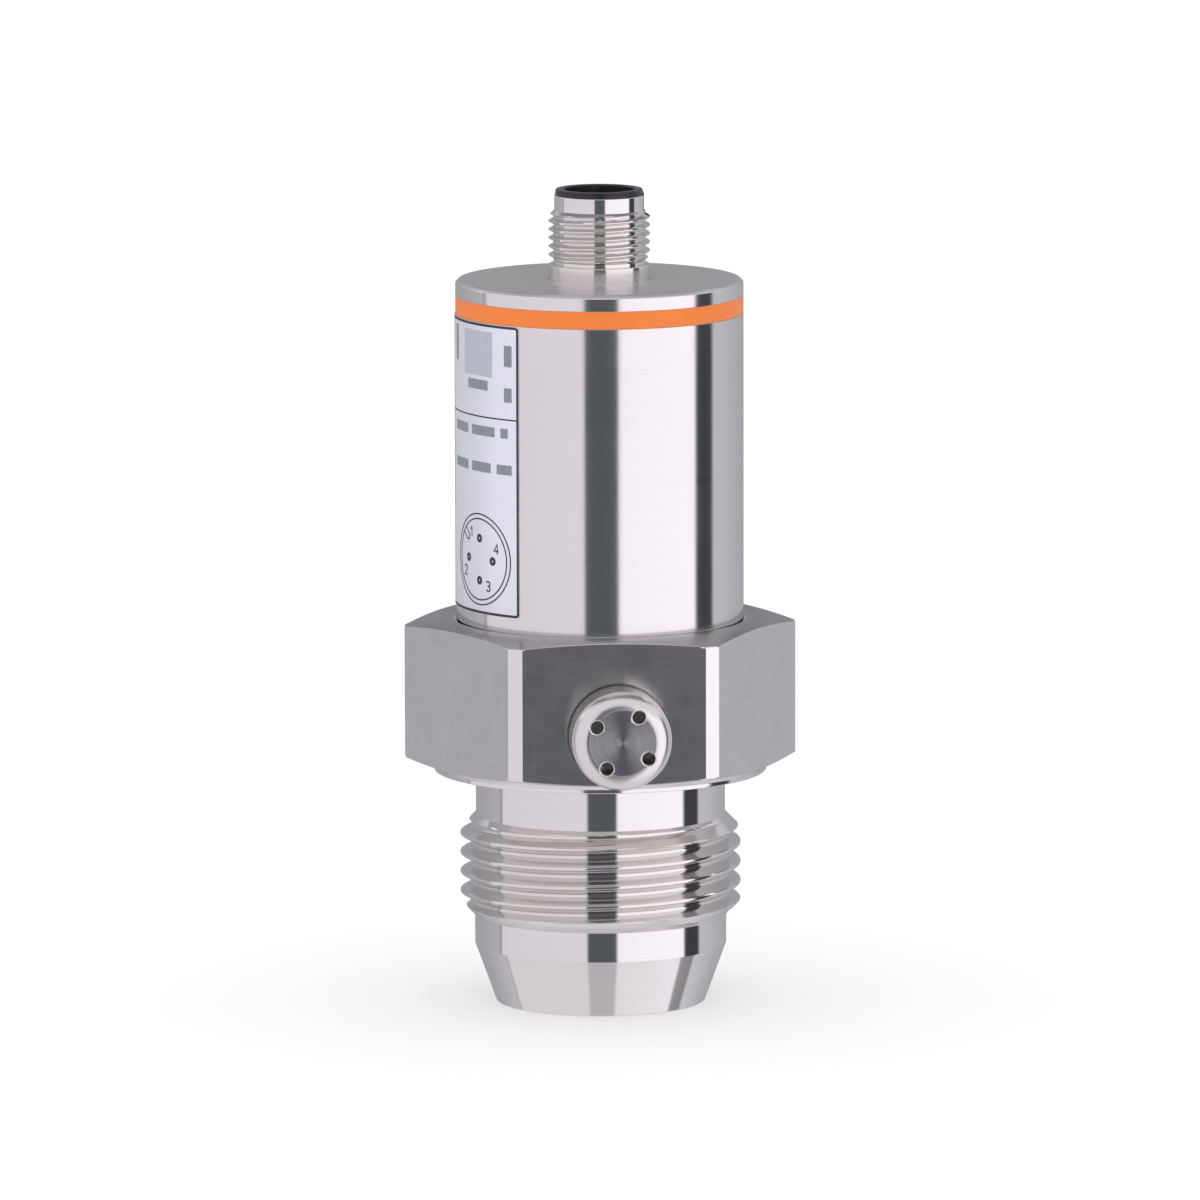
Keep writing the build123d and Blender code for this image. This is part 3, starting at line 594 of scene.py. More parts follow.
def add_rows(mesh, rows, closed):
    """Faces between rows of vertices; a row of one vertex is a pole."""
    pairs = list(zip(rows, rows[1:]))
    if closed:
        pairs.append((rows[-1], rows[0]))
    for low, high in pairs:
        count = max(len(low), len(high))
        if count == 1:
            continue
        for i in range(count):
            j = (i + 1) % count
            corners = [low[i % len(low)], low[j % len(low)], high[j % len(high)], high[i % len(high)]]
            mesh.faces.new(list(dict.fromkeys(corners)))


def turned_mesh(outline, columns, closed=True):
    """Mesh turned about Z from (radius, height) points in millimetres."""
    mesh = bmesh.new()
    rows = []
    for r, z in outline:
        angles = even_angles(columns) if r > 0 else [0.0]
        rows.append([turned_vertex(mesh, r, z, a) for a in angles])
    add_rows(mesh, rows, closed)
    return mesh


def mesh_data(mesh, name):
    """Mesh data from a bmesh, which is freed."""
    data = bpy.data.meshes.new(name)
    mesh.to_mesh(data)
    mesh.free()
    return data


def new_object(name, data):
    """Object with its data, in the scene."""
    item = bpy.data.objects.new(name, data)
    bpy.context.scene.collection.objects.link(item)
    return item


def to_object(mesh, name, *materials):
    """Object from a bmesh, closed and with its faces outwards."""
    bmesh.ops.remove_doubles(mesh, verts=mesh.verts, dist=MERGE)
    bmesh.ops.recalc_face_normals(mesh, faces=mesh.faces)
    for face in mesh.faces:
        face.material_index = 0
    data = mesh_data(mesh, name)
    for material in materials:
        data.materials.append(material)
    return new_object(name, data)


def bake_modifiers(piece):
    """Replaces a piece's mesh by the result of its modifiers, and removes them."""
    evaluated = piece.evaluated_get(bpy.context.evaluated_depsgraph_get())
    data = bpy.data.meshes.new_from_object(evaluated)
    data.name = piece.name
    piece.modifiers.clear()
    piece.data = data


def boolean(piece, operation, *others):
    """Cuts the others out of a closed piece or joins them to it, and removes them."""
    for other in others:
        modifier = piece.modifiers.new(operation, "BOOLEAN")
        modifier.operation = operation
        modifier.solver = "MANIFOLD"
        modifier.object = other
    bake_modifiers(piece)
    for other in others:
        bpy.data.objects.remove(other)


def smooth(piece):
    """Smooth faces with sharp edges kept, and normals led by the large faces."""
    for polygon in piece.data.polygons:
        polygon.use_smooth = True
    piece.data.set_sharp_from_angle(angle=SHARP_ANGLE)
    modifier = piece.modifiers.new("weighted", "WEIGHTED_NORMAL")
    modifier.mode = "FACE_AREA_WITH_ANGLE"
    modifier.keep_sharp = True
    bake_modifiers(piece)


def paint(piece, choose):
    """Gives each face the number of the material that a function chooses for it."""
    for polygon in piece.data.polygons:
        polygon.material_index = choose(polygon)


def finish_piece(piece, slot, *nodes):
    """Seats a finished piece on the sensor, in place of its CAD nodes."""
    smooth(piece)
    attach(piece, "root")
    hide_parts(*nodes)


def box_tool(name, low, high, turn=0.0):
    """Upright block between two corners, turned about Z, as a cutting or joining tool."""
    low = Vector(low)
    high = Vector(high)
    mesh = bmesh.new()
    bmesh.ops.create_cube(mesh, size=1.0)
    size = Matrix.Diagonal((*(high - low) * MM, 1))
    centre = Matrix.Translation((low + high) / 2 * MM)
    place = Matrix.Rotation(turn, 4, "Z") @ centre @ size
    bmesh.ops.transform(mesh, matrix=place, verts=mesh.verts)
    return to_object(mesh, name, BLACK)


# Threads, made by one Geometry Nodes tree
THREAD_SIZES = ["Crest radius", "Root radius", "Pitch", "Crest width", "Flank tangent", "Rounding"]
THREAD_SIZES += ["Low height", "High height", "Low radius", "High radius", "Start turn"]
PLAIN_NUMBERS = ["Flank tangent", "Start turn"]


def make_thread_tree():
    """Tree that wraps a grid round the axis so that its rows follow the helix between two circles."""
    tree = bpy.data.node_groups.new("turned_thread", "GeometryNodeTree")
    for label in THREAD_SIZES:
        tree.interface.new_socket(label, in_out="INPUT", socket_type="NodeSocketFloat")
    for label, kind in (("Columns", "Int"), ("Rows per turn", "Int"), ("Material", "Material")):
        tree.interface.new_socket(label, in_out="INPUT", socket_type="NodeSocket" + kind)
    tree.interface.new_socket("Geometry", in_out="OUTPUT", socket_type="NodeSocketGeometry")
    given = tree.nodes.new("NodeGroupInput").outputs
    leave = tree.nodes.new("NodeGroupOutput").inputs
    calc = partial(math_node, tree)

    low, high, pitch = given["Low height"], given["High height"], given["Pitch"]
    turns = calc("DIVIDE", calc("ADD", calc("SUBTRACT", high, low), pitch), pitch)
    rows = calc("CEIL", calc("MULTIPLY", turns, given["Rows per turn"]))
    vertices = {"Vertices X": calc("ADD", given["Columns"], 1), "Vertices Y": calc("ADD", rows, 1)}
    grid = add_node(tree, "GeometryNodeMeshGrid", {"Size X": 1.0, "Size Y": 1.0, **vertices})

    across, up, _ = separate(tree, add_node(tree, "GeometryNodeInputPosition")[0])
    turn = calc("ADD", across, 0.5)
    below_top = calc("MULTIPLY", calc("SUBTRACT", 0.5, up), rows)
    row_step = calc("DIVIDE", pitch, given["Rows per turn"])
    row_height = calc("SUBTRACT", high, calc("MULTIPLY", below_top, row_step))
    free_height = calc("MULTIPLY_ADD", turn, pitch, row_height)
    height = calc("MINIMUM", calc("MAXIMUM", free_height, low), high)

    rise = calc("DIVIDE", calc("SUBTRACT", row_height, low), pitch)
    phase = calc("FRACT", calc("ADD", rise, given["Start turn"]))
    from_crest = calc("MULTIPLY", calc("ABSOLUTE", calc("SUBTRACT", phase, 0.5)), pitch)
    past_crest = calc("SUBTRACT", calc("MULTIPLY", given["Crest width"], 0.5), from_crest)
    flank = calc("ADD", given["Crest radius"], calc("DIVIDE", past_crest, given["Flank tangent"]))
    crested = calc("SMOOTH_MIN", flank, given["Crest radius"], given["Rounding"])
    rooted = calc("SMOOTH_MAX", crested, given["Root radius"], given["Rounding"])
    low_chamfer = calc("ADD", given["Low radius"], calc("SUBTRACT", height, low))
    high_chamfer = calc("ADD", given["High radius"], calc("SUBTRACT", high, height))
    radius = calc("MINIMUM", rooted, calc("MINIMUM", low_chamfer, high_chamfer))

    angle = calc("MULTIPLY", turn, TURN)
    x = calc("MULTIPLY", radius, calc("COSINE", angle))
    y = calc("MULTIPLY", radius, calc("SINE", angle))
    wrap = {"Geometry": grid["Mesh"], "Position": combine(tree, x, y, height)}
    shape = add_node(tree, "GeometryNodeSetPosition", wrap)[0]
    shape = add_node(tree, "GeometryNodeMergeByDistance", {"Geometry": shape, "Distance": MERGE})[0]
    shape = add_node(tree, "GeometryNodeSetMaterial", {"Geometry": shape, "Material": given["Material"]})[0]
    link(tree, shape, leave["Geometry"])
    return tree


THREAD_TREE = make_thread_tree()


def thread_mesh(columns, rows_per_turn, material, **sizes):
    """Bmesh of one thread between its two end circles; sizes are in millimetres."""
    carrier = new_object("thread", bpy.data.meshes.new("thread"))
    modifier = carrier.modifiers.new("thread", "NODES")
    modifier.node_group = THREAD_TREE
    values = {"Columns": columns, "Rows per turn": rows_per_turn, "Material": material}
    for label in THREAD_SIZES:
        value = sizes[label.lower().replace(" ", "_")]
        values[label] = value if label in PLAIN_NUMBERS else value * MM
    for item in THREAD_TREE.interface.items_tree:
        if item.in_out == "INPUT":
            modifier[item.identifier] = values[item.name]
    bake_modifiers(carrier)
    mesh = bmesh.new()
    mesh.from_mesh(carrier.data)
    bpy.data.objects.remove(carrier)
    return mesh


def absorb(mesh, other):
    """Adds another bmesh to a bmesh."""
    data = mesh_data(other, "part")
    mesh.from_mesh(data)
    bpy.data.meshes.remove(data)


# Process fitting
def from_flat(angle):
    """Angle from the middle of the nearest flat; one flat faces -Y."""
    side = TURN / HEX_SIDES
    return (angle + TURN / 4 + side / 2) % side - side / 2


def hexagon_radius(angle):
    """Distance of the hexagon's outline from the axis, with turned corners."""
    return min(HEX_FLAT_R / math.cos(from_flat(angle)), HEX_CORNER_R)


def hexagon_angles():
    """Even steps, with the nearest ones moved onto the hexagon's upright edges."""
    angles = even_angles(FITTING_COLUMNS)
    for flat in range(HEX_SIDES):
        for edge in (-HEX_EDGE_ANGLE, HEX_EDGE_ANGLE):
            exact = (-TURN / 4 + TURN * flat / HEX_SIDES + edge) % TURN
            nearest = min(range(FITTING_COLUMNS), key=lambda i: abs(angles[i] - exact))
            angles[nearest] = exact
    return angles


def hexagon_rows():
    """Rows of (radius, height) functions over the hexagon, from its foot circle to its top circle."""
    def foot(angle, drop=0.0):
        r = hexagon_radius(angle) - drop
        return r, HEX_Z + (r - HEX_FOOT_R) * HEX_FOOT_SLOPE

    def head(angle, drop=0.0):
        r = hexagon_radius(angle) - drop
        return r, HEX_TOP_Z - (r - HEX_TOP_R) * HEX_TOP_SLOPE

    def wall(edge, lift, inset=0.0):
        return lambda angle: (edge(angle)[0] - inset, edge(angle)[1] + lift)

    # The guard rows keep the tall walls' shading flat right up to their broken edges
    guard = 1.3 * EDGE_BREAK
    quarter = EDGE_BREAK / 4
    return [
        lambda angle: foot(angle, EDGE_BREAK),
        wall(foot, quarter, quarter),
        wall(foot, EDGE_BREAK),
        wall(foot, guard),
        wall(head, -guard),
        wall(head, -EDGE_BREAK),
        wall(head, -quarter, quarter),
        lambda angle: head(angle, EDGE_BREAK),
    ]


def groove(r, depth, low, high):
    """Corners of a square groove round a spigot, from low to high."""
    return [(r, low, 0), (r - depth, low, 0), (r - depth, high, 0), (r, high, 0)]


def fitting_outline():
    """Corners of the fitting: neck and flange, then from the top face down inside and up to the land."""
    groove_low = HOUSING_SEAL_LOW.z - SEAL_SQUEEZE
    groove_high = HOUSING_SEAL_HIGH.z + SEAL_SQUEEZE
    seat_r = TUBE_R + SEAT_GAP
    outside = [
        (NECK_R, NECK_Z, 0),
        (NECK_R, FLANGE_Z, FLANGE_ROOT_ROUND),
        (FLANGE_R, FLANGE_Z, FLANGE_EDGE),
        (FLANGE_R, FLANGE_RIM_Z, EDGE_BREAK),
        (HEX_FOOT_R, HEX_Z, 0),
    ]
    inside = [
        (HEX_TOP_R, HEX_TOP_Z, 0),
        (seat_r, HEX_TOP_Z, EDGE_BREAK),
        (seat_r, TUBE_LOW.z, 0),
        (SPIGOT_R, TUBE_LOW.z, 0),
        *groove(SPIGOT_R, SEAL_GROOVE_DEPTH, groove_low, groove_high),
        (SPIGOT_R, FITTING_TOP_Z, 0),
        (BOARD_BORE_R, FITTING_TOP_Z, 0),
        (BOARD_BORE_R, BOARD_SEAT_Z, 0),
        (CELL_BORE_R, BOARD_SEAT_Z, 0),
        (CELL_BORE_R, LIP_T, 0),
        (LIP_R, LIP_T, 0),
        (LIP_R, 0, EDGE_BREAK),
        (FOOT_R, 0, FOOT_EDGE),
        (LAND_R, CONE_H, FINE_EDGE),
        (LAND_R, THREAD_Z, 0),
    ]
    return rounded(outside), rounded(inside)


def turn_to_front(mesh, x=VENT_X, z=VENT_Z):
    """Lays an upright turned mesh along -Y, on an axis through x and z."""
    place = Matrix.Translation((x * MM, 0, z * MM)) @ Matrix.Rotation(math.radians(90), 4, "X")
    bmesh.ops.transform(mesh, matrix=place, verts=mesh.verts)


def front_tool(name, outline, columns, x=VENT_X, z=VENT_Z):
    """Cutting tool turned about a line along -Y from (radius, distance) points."""
    mesh = turned_mesh(outline, columns)
    turn_to_front(mesh, x, z)
    return to_object(mesh, name)


def fitting_finish(polygon):
    """Number of a face's finish: 0 turned, 1 milled flat, 2 faced top or vent seat, which take steel
    darkened as painted shade.
    """
    touch = 0.01
    upward = 0.9
    top_drop = 1.5
    centre = polygon.center / MM
    out = centre.xy.length
    offset = from_flat(math.atan2(centre.y, centre.x))
    on_flat = abs(offset) < HEX_EDGE_ANGLE and abs(out * math.cos(offset) - HEX_FLAT_R) < touch
    if on_flat and HEX_Z < centre.z < HEX_TOP_Z:
        return 1
    on_top = polygon.normal.z > upward and HEX_TOP_Z - top_drop < centre.z < HEX_TOP_Z
    from_vent = math.hypot(centre.x - VENT_X, centre.z - VENT_Z)
    in_seat = from_vent < VENT_SEAT_R + SEAT_BREAK / 2 and -HEX_FLAT_R < centre.y < VENT_BACK + SEAT_BREAK
    # The faced top and the vent's seat get the steel darkened as painted shade
    return 2 if in_seat or (on_top and out > TUBE_R + SEAT_GAP) else 0


def make_process_fitting():
    """Cone, thread, neck, flange and hexagon as one closed mesh, with the vent's seat cut in."""
    outside, inside = fitting_outline()
    even = even_angles(FITTING_COLUMNS)
    snapped = hexagon_angles()

    def turned_rows(points):
        return [[(*point, a) for a in (snapped if point.y > NECK_Z else even)] for point in points]

    rows = turned_rows(outside)
    rows += [[(*place(a), a) for a in snapped] for place in hexagon_rows()]
    rows += turned_rows(inside)
    mesh = bmesh.new()
    add_rows(mesh, [[turned_vertex(mesh, *place) for place in row] for row in rows], False)
    thread = thread_mesh(
        FITTING_COLUMNS,
        FITTING_ROWS_PER_TURN,
        FITTING_TURNED,
        crest_radius=THREAD_R,
        root_radius=ROOT_R,
        pitch=THREAD_PITCH,
        crest_width=THREAD_CREST_W,
        flank_tangent=math.tan(THREAD_FLANK),
        rounding=THREAD_ROUNDING,
        low_height=THREAD_Z,
        high_height=NECK_Z,
        low_radius=LAND_R,
        high_radius=NECK_R,
        start_turn=0.5 + THREAD_START / 360,
    )
    absorb(mesh, thread)
    piece = to_object(mesh, "fitting_body", FITTING_TURNED, FITTING_MILLED, FITTING_FACED_AND_SHADED)
    seat = [
        (0, -VENT_BACK),
        (VENT_SEAT_R, -VENT_BACK),
        (VENT_SEAT_R, HEX_FLAT_R - SEAT_BREAK),
        (VENT_SEAT_R + 2 * SEAT_BREAK, HEX_FLAT_R + SEAT_BREAK),
        (0, HEX_FLAT_R + SEAT_BREAK),
    ]
    boolean(piece, "DIFFERENCE", front_tool("seat_tool", seat, ROUND_COLUMNS))
    paint(piece, fitting_finish)
    finish_piece(piece, "fitting_steel", "process_fitting")


# Tube, ring and cap
def plain_ring(name, material, low, high, low_edge, high_edge):
    """Ring between the tube's bore and its outside, with its outer edges broken."""
    outer = [(TUBE_R, low, low_edge), (TUBE_R, high, high_edge)]
    outline = rounded([(TUBE_BORE_R, low, 0), *outer, (TUBE_BORE_R, high, 0)])
    return to_object(turned_mesh(outline, FITTING_COLUMNS), name, material)


def make_housing_tube():
    """Tube with lightly broken edges."""
    piece = plain_ring("tube_body", HOUSING, TUBE_LOW.z, TUBE_HIGH.z, FINE_EDGE, TUBE_TOP_EDGE)
    finish_piece(piece, "housing_steel", "housing_tube")


def make_colour_ring():
    """Orange ring, moulded with soft edges."""
    piece = plain_ring("ring_body", ORANGE, RING_LOW.z, RING_HIGH.z, EDGE_BREAK, EDGE_BREAK)
    finish_piece(piece, "orange_plastic", "colour_ring")


def make_end_cap():
    """Cap with a bevelled rim, a spigot with its seal groove, and the hole for the plug."""
    hole_r = COLLAR_R + SLIP_FIT
    groove_low = CAP_SEAL_LOW.z - SEAL_SQUEEZE
    groove_high = CAP_SEAL_HIGH.z + SEAL_SQUEEZE
    outline = rounded([
        (hole_r, CAP_WEB_Z, 0),
        (CAP_BORE_R, CAP_WEB_Z, 0),
        (CAP_BORE_R, CAP_LOW.z, 0),
        (SPIGOT_R, CAP_LOW.z, 0),
        *groove(SPIGOT_R, SEAL_GROOVE_DEPTH, groove_low, groove_high),
        (SPIGOT_R, CAP_PLATE_Z, 0),
        (TUBE_R, CAP_PLATE_Z, FINE_EDGE),
        (TUBE_R, CAP_HIGH.z - CAP_BEVEL, CAP_ROUND),
        (TUBE_R - CAP_BEVEL, CAP_HIGH.z, CAP_ROUND),
        (hole_r, CAP_HIGH.z, FINE_EDGE),
    ])
    piece = to_object(turned_mesh(outline, FITTING_COLUMNS), "cap_body", HOUSING, CAP_FACE)
    upward = 0.6
    paint(piece, lambda face: int(face.normal.z > upward and face.center.z / MM > CAP_PLATE_Z))
    finish_piece(piece, "housing_steel", "end_cap")


# Plug
def make_plug_sleeve():
    """Threaded sleeve with its collar, nose and key slot."""
    low = rounded([
        (PLUG_BORE_R, SLEEVE_LOW.z, 0),
        (SHOULDER_R, SLEEVE_LOW.z, 0),
        (SHOULDER_R, CAP_WEB_Z, 0),
        (COLLAR_R, CAP_WEB_Z, 0),
        (COLLAR_R, COLLAR_TOP_Z, COLLAR_EDGE),
        (RELIEF_R, COLLAR_TOP_Z, 0),
        (RELIEF_R, PLUG_THREAD_Z, 0),
    ])
    high = rounded([
        (NOSE_R, NOSE_Z, 0),
        (NOSE_R, SLEEVE_HIGH.z, EDGE_BREAK),
        (PLUG_BORE_R, SLEEVE_HIGH.z, 0),
        (PLUG_BORE_R, SLEEVE_LOW.z, 0),
    ])
    mesh = turned_mesh(low, PLUG_COLUMNS, closed=False)
    absorb(mesh, turned_mesh(high, PLUG_COLUMNS, closed=False))
    thread = thread_mesh(
        PLUG_COLUMNS,
        PLUG_ROWS_PER_TURN,
        PLUG,
        crest_radius=PLUG_THREAD_R,
        root_radius=PLUG_ROOT_R,
        pitch=PLUG_PITCH,
        crest_width=PLUG_CREST_W,
        flank_tangent=math.tan(PLUG_FLANK),
        rounding=PLUG_ROUNDING,
        low_height=PLUG_THREAD_Z,
        high_height=NOSE_Z,
        low_radius=RELIEF_R,
        high_radius=NOSE_R,
        start_turn=0.5 + PLUG_THREAD_START / 360,
    )
    absorb(mesh, thread)
    piece = to_object(mesh, "sleeve_body", PLUG)
    low = (PLUG_BORE_R - 1, -KEY_W / 2, NOSE_Z - PLUG_PITCH)
    high = (PLUG_THREAD_R + 1, KEY_W / 2, SLEEVE_HIGH.z + 1)
    boolean(piece, "DIFFERENCE", box_tool("slot_tool", low, high, KEY_ANGLE))
    finish_piece(piece, "plug_steel", "plug_sleeve")


# Vent cover
def drill_outline(mouth):
    """Outline that cuts a vent hole and rounds its edge at a face."""
    outline = [(0, mouth - 2 * VENT_FACE_T), (VENT_HOLE_R, mouth - 2 * VENT_FACE_T)]
    for step in range(ARC_STEPS + 1):
        angle = math.radians(180 - 90 * step / ARC_STEPS)
        r = VENT_HOLE_R + VENT_HOLE_ROUND * (1 + math.cos(angle))
        outline.append((r, mouth - VENT_HOLE_ROUND * (1 - math.sin(angle))))
    outline += [(VENT_HOLE_R + VENT_HOLE_ROUND, mouth + 1), (0, mouth + 1)]
    return outline


def make_vent_cover():
    """Cover with a rounded rim, a faced front and four holes with broken edges."""
    front = -VENT_FRONT
    face_r = VENT_R - VENT_ROUND
    # Rings through the holes and just inside them keep the faced front's shading flat
    hole_reach = VENT_HOLE_R + VENT_HOLE_ROUND
    inner_r = VENT_HOLE_PCR - 1.05 * hole_reach
    rings = [0, inner_r, VENT_HOLE_PCR - hole_reach / 2, VENT_HOLE_PCR, face_r - FINE_EDGE]
    outline = [(r, front - VENT_FACE_STEP) for r in rings]
    steps = 4 * ARC_STEPS
    for step in range(steps + 1):
        angle = math.radians(90) * (1 - step / steps)
        z = front - VENT_ROUND + VENT_ROUND * math.sin(angle)
        outline.append((face_r + VENT_ROUND * math.cos(angle), z))
    outline += [
        (VENT_R, -VENT_BACK),
        (VENT_BORE_R, -VENT_BACK),
        (VENT_BORE_R, front - VENT_FACE_T),
        (0, front - VENT_FACE_T),
    ]
    mesh = turned_mesh(outline, ROUND_COLUMNS)
    turn_to_front(mesh)
    piece = to_object(mesh, "cover_body", VENT_POLISHED, VENT_FACED)
    tools = []
    for i in range(VENT_HOLE_COUNT):
        angle = VENT_HOLE_ANGLE + TURN * i / VENT_HOLE_COUNT
        x = VENT_X + VENT_HOLE_PCR * math.cos(angle)
        z = VENT_Z + VENT_HOLE_PCR * math.sin(angle)
        drill = drill_outline(front - VENT_FACE_STEP)
        tools.append(front_tool("hole_tool", drill, HOLE_COLUMNS, x, z))
    boolean(piece, "DIFFERENCE", *tools)
    forward = 0.999
    face_depth = 0.5
    paint(piece, lambda face: int(-face.normal.y > forward and face.center.y / MM < VENT_FRONT + face_depth))
    finish_piece(piece, "vent_steel", "vent_cover")


# Plug insert
def make_plug_insert():
    """Plastic contact carrier: socket with its key, rim with soft edges, and the key in the nose's slot."""
    floor_z = INSERT_HIGH.z - SOCKET_DEPTH
    outline = rounded([
        (0, INSERT_LOW.z, 0),
        (INSERT_HIGH.x, INSERT_LOW.z, EDGE_BREAK),
        (INSERT_HIGH.x, SLEEVE_LOW.z, 0),
        (INSERT_R, SLEEVE_LOW.z, 0),
        *groove(INSERT_R, INSERT_GROOVE_DEPTH, INSERT_GROOVE_LOW, INSERT_GROOVE_HIGH),
        (INSERT_R, SLEEVE_HIGH.z, 0),
        (INSERT_RIM_R, SLEEVE_HIGH.z, 0),
        (INSERT_RIM_R, SLEEVE_HIGH.z + RIM_STEP, RIM_STEP_EDGE),
        (INSERT_RIM_R - RIM_STEP_IN, SLEEVE_HIGH.z + RIM_STEP, RIM_STEP_EDGE),
        (INSERT_RIM_R - RIM_STEP_IN, INSERT_HIGH.z, RIM_EDGE),
        (SOCKET_R, INSERT_HIGH.z, SOCKET_EDGE),
        (SOCKET_R, floor_z, 0),
        (0, floor_z, 0),
    ])
    piece = to_object(turned_mesh(outline, PLUG_COLUMNS), "insert_body", BLACK)
    key_top = INSERT_HIGH.z - CONTACT_RECESS
    socket_key = box_tool(
        "socket_key",
        (-SOCKET_KEY_W / 2, SOCKET_R - SOCKET_KEY_H, floor_z - KEY_SUNK),
        (SOCKET_KEY_W / 2, SOCKET_R + KEY_SUNK, key_top),
    )
    nose_key = box_tool(
        "nose_key",
        ((INSERT_R + SOCKET_R) / 2, -NOSE_KEY_W / 2, NOSE_Z - PLUG_PITCH),
        (NOSE_R - SLIP_FIT, NOSE_KEY_W / 2, SLEEVE_HIGH.z + KEY_SUNK),
        KEY_ANGLE,
    )
    boolean(piece, "UNION", socket_key, nose_key)
    r = CONTACT_R + SLIP_FIT
    low = INSERT_LOW.z - 1
    high = floor_z + 1
    half = CONTACT_SPACING / 2
    tools = []
    for x, y in ((-half, half), (half, half), (half, -half), (-half, -half)):
        tool = turned_mesh([(0, low), (r, low), (r, high), (0, high)], CONTACT_COLUMNS)
        bmesh.ops.translate(tool, vec=(x * MM, y * MM, 0), verts=tool.verts)
        tools.append(to_object(tool, "contact_tool"))
    boolean(piece, "DIFFERENCE", *tools)
    finish_piece(piece, "black_plastic", "plug_insert")


# Label print
def stroke(mesh, points, width, closed=False):
    """Line of even width along points, laid flat in the XY plane of the mesh."""
    count = len(points)
    sides = []
    for i, point in enumerate(points):
        before = points[i - 1] if closed or i > 0 else 2 * point - points[1]
        after = points[(i + 1) % count] if closed or i < count - 1 else 2 * point - points[i - 1]
        first = (point - before).normalized()
        second = (after - point).normalized()
        mitre = (first + second).normalized().orthogonal()
        reach_out = width / 2 / max(0.5, mitre.dot(first.orthogonal()))
        sides.append([mesh.verts.new((*(point + mitre * reach_out * side), 0)) for side in (1, -1)])
    for i in range(count if closed else count - 1):
        first, second = sides[i], sides[(i + 1) % count]
        mesh.faces.new((first[0], first[1], second[1], second[0]))


def divided(corners, closed=False):
    """Points along straight runs between corners, close enough together to follow the tube."""
    corners = [Vector(corner) for corner in corners]
    points = []
    ends = corners[1:] + corners[:1] if closed else corners[1:]
    for start, end in zip(corners, ends):
        steps = max(1, math.ceil((end - start).length / PRINT_STEP))
        points += [start.lerp(end, i / steps) for i in range(steps)]
    return points if closed else points + [corners[-1]]


def framed(left, low, right, high, corner):
    """Rectangle with rounded corners."""
    corners = [(left, low), (right, low), (right, high), (left, high)]
    return divided(rounded([(*place, corner) for place in corners]), closed=True)


def circle(u, z, radius):
    """Circle about a point."""
    angles = even_angles(PRINT_CIRCLE_POINTS)
    return [Vector((u + radius * math.cos(a), z + radius * math.sin(a))) for a in angles]


def draw_digit(mesh, digit, u, z):
    """Plain number, drawn as a line."""
    points = [Vector((u, z)) + (Vector(point) - DIGIT_MIDDLE) * DIGIT_SIZE for point in DIGITS[digit]]
    stroke(mesh, points, DIGIT_LINE)


def draw_plug_diagram(mesh):
    """Two circles with a key mark, four contacts and their numbers."""
    u, z = DIAGRAM_PLACE
    for radius in DIAGRAM_RADII:
        stroke(mesh, circle(u, z, radius), PRINT_LINE, closed=True)
    inner = DIAGRAM_RADII[1]
    key = Matrix.Rotation(DIAGRAM_KEY_ANGLE, 2)
    half, depth = DIAGRAM_KEY
    sketch = [(inner - DIAGRAM_KEY_GAP, half), (inner - depth, half), (inner - depth - half, half / 2)]
    sketch += [(r, -y) for r, y in reversed(sketch)]
    stroke(mesh, [Vector((u, z)) + key @ Vector(point) for point in sketch], PRINT_LINE)
    for digit, contact, place in DIAGRAM_CONTACTS:
        radius, line = CONTACT_DOT
        stroke(mesh, circle(u + contact[0], z + contact[1], radius), line, closed=True)
        draw_digit(mesh, digit, u + place[0], z + place[1])


def wrap_print(flat, name, ink):
    """Wraps a flat drawing round the foil as a thin layer of ink."""
    bmesh.ops.remove_doubles(flat, verts=flat.verts, dist=MERGE / MM)
    faces = bmesh.ops.extrude_face_region(flat, geom=flat.faces[:])
    raised = [item for item in faces["geom"] if isinstance(item, bmesh.types.BMVert)]
    bmesh.ops.translate(flat, vec=(0, 0, INK_T), verts=raised)
    for vert in flat.verts:
        angle = math.radians(LABEL_EDGE_ANGLE) + vert.co.x / LABEL_R
        r = LABEL_R + vert.co.z
        vert.co = Vector((r * math.sin(angle), -r * math.cos(angle), vert.co.y)) * MM
    piece = to_object(flat, name, ink)
    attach(piece, "root")


def make_label_print():
    """Print of the label: frame, dividers and the plug's diagram, with plain bars where words would be."""
    lines = bmesh.new()
    length = math.radians(LABEL_WRAP_ANGLE) * LABEL_R
    low, high = FOIL_LOW.z, FOIL_HIGH.z
    margin = PRINT_MARGIN
    frame_line = framed(-length + margin, low + margin, -margin, high - margin, PRINT_CORNER)
    stroke(lines, frame_line, FRAME_LINE, closed=True)
    stroke(lines, divided([(-PRINT_COLUMN, DIVIDER_Z), (-margin, DIVIDER_Z)]), PRINT_LINE)
    column = [(-PRINT_COLUMN, low + margin), (-PRINT_COLUMN, high - margin)]
    stroke(lines, divided(column), PRINT_LINE)
    draw_plug_diagram(lines)
    wrap_print(lines, "label_lines", INK)
    bars = bmesh.new()
    for z, words in WORD_BARS:
        for start, end in words:
            stroke(bars, divided([(-start, z), (-end, z)]), BAR_WIDTH)
    for u, words in UPRIGHT_BARS:
        for start, end in words:
            stroke(bars, [Vector((-u, start)), Vector((-u, end))], BAR_WIDTH)
    wrap_print(bars, "label_bars", GREY_INK)
    field = bmesh.new()
    left, right, z = PALE_FIELD
    stroke(field, divided([(left, z), (right, z)]), FIELD_HEIGHT)
    wrap_print(field, "label_field", PALE_INK)


# Studio
def towards(azimuth, elevation):
    """Direction with its azimuth counted from -Y towards +X."""
    level = math.cos(elevation)
    return Vector((math.sin(azimuth) * level, -math.cos(azimuth) * level, math.sin(elevation)))


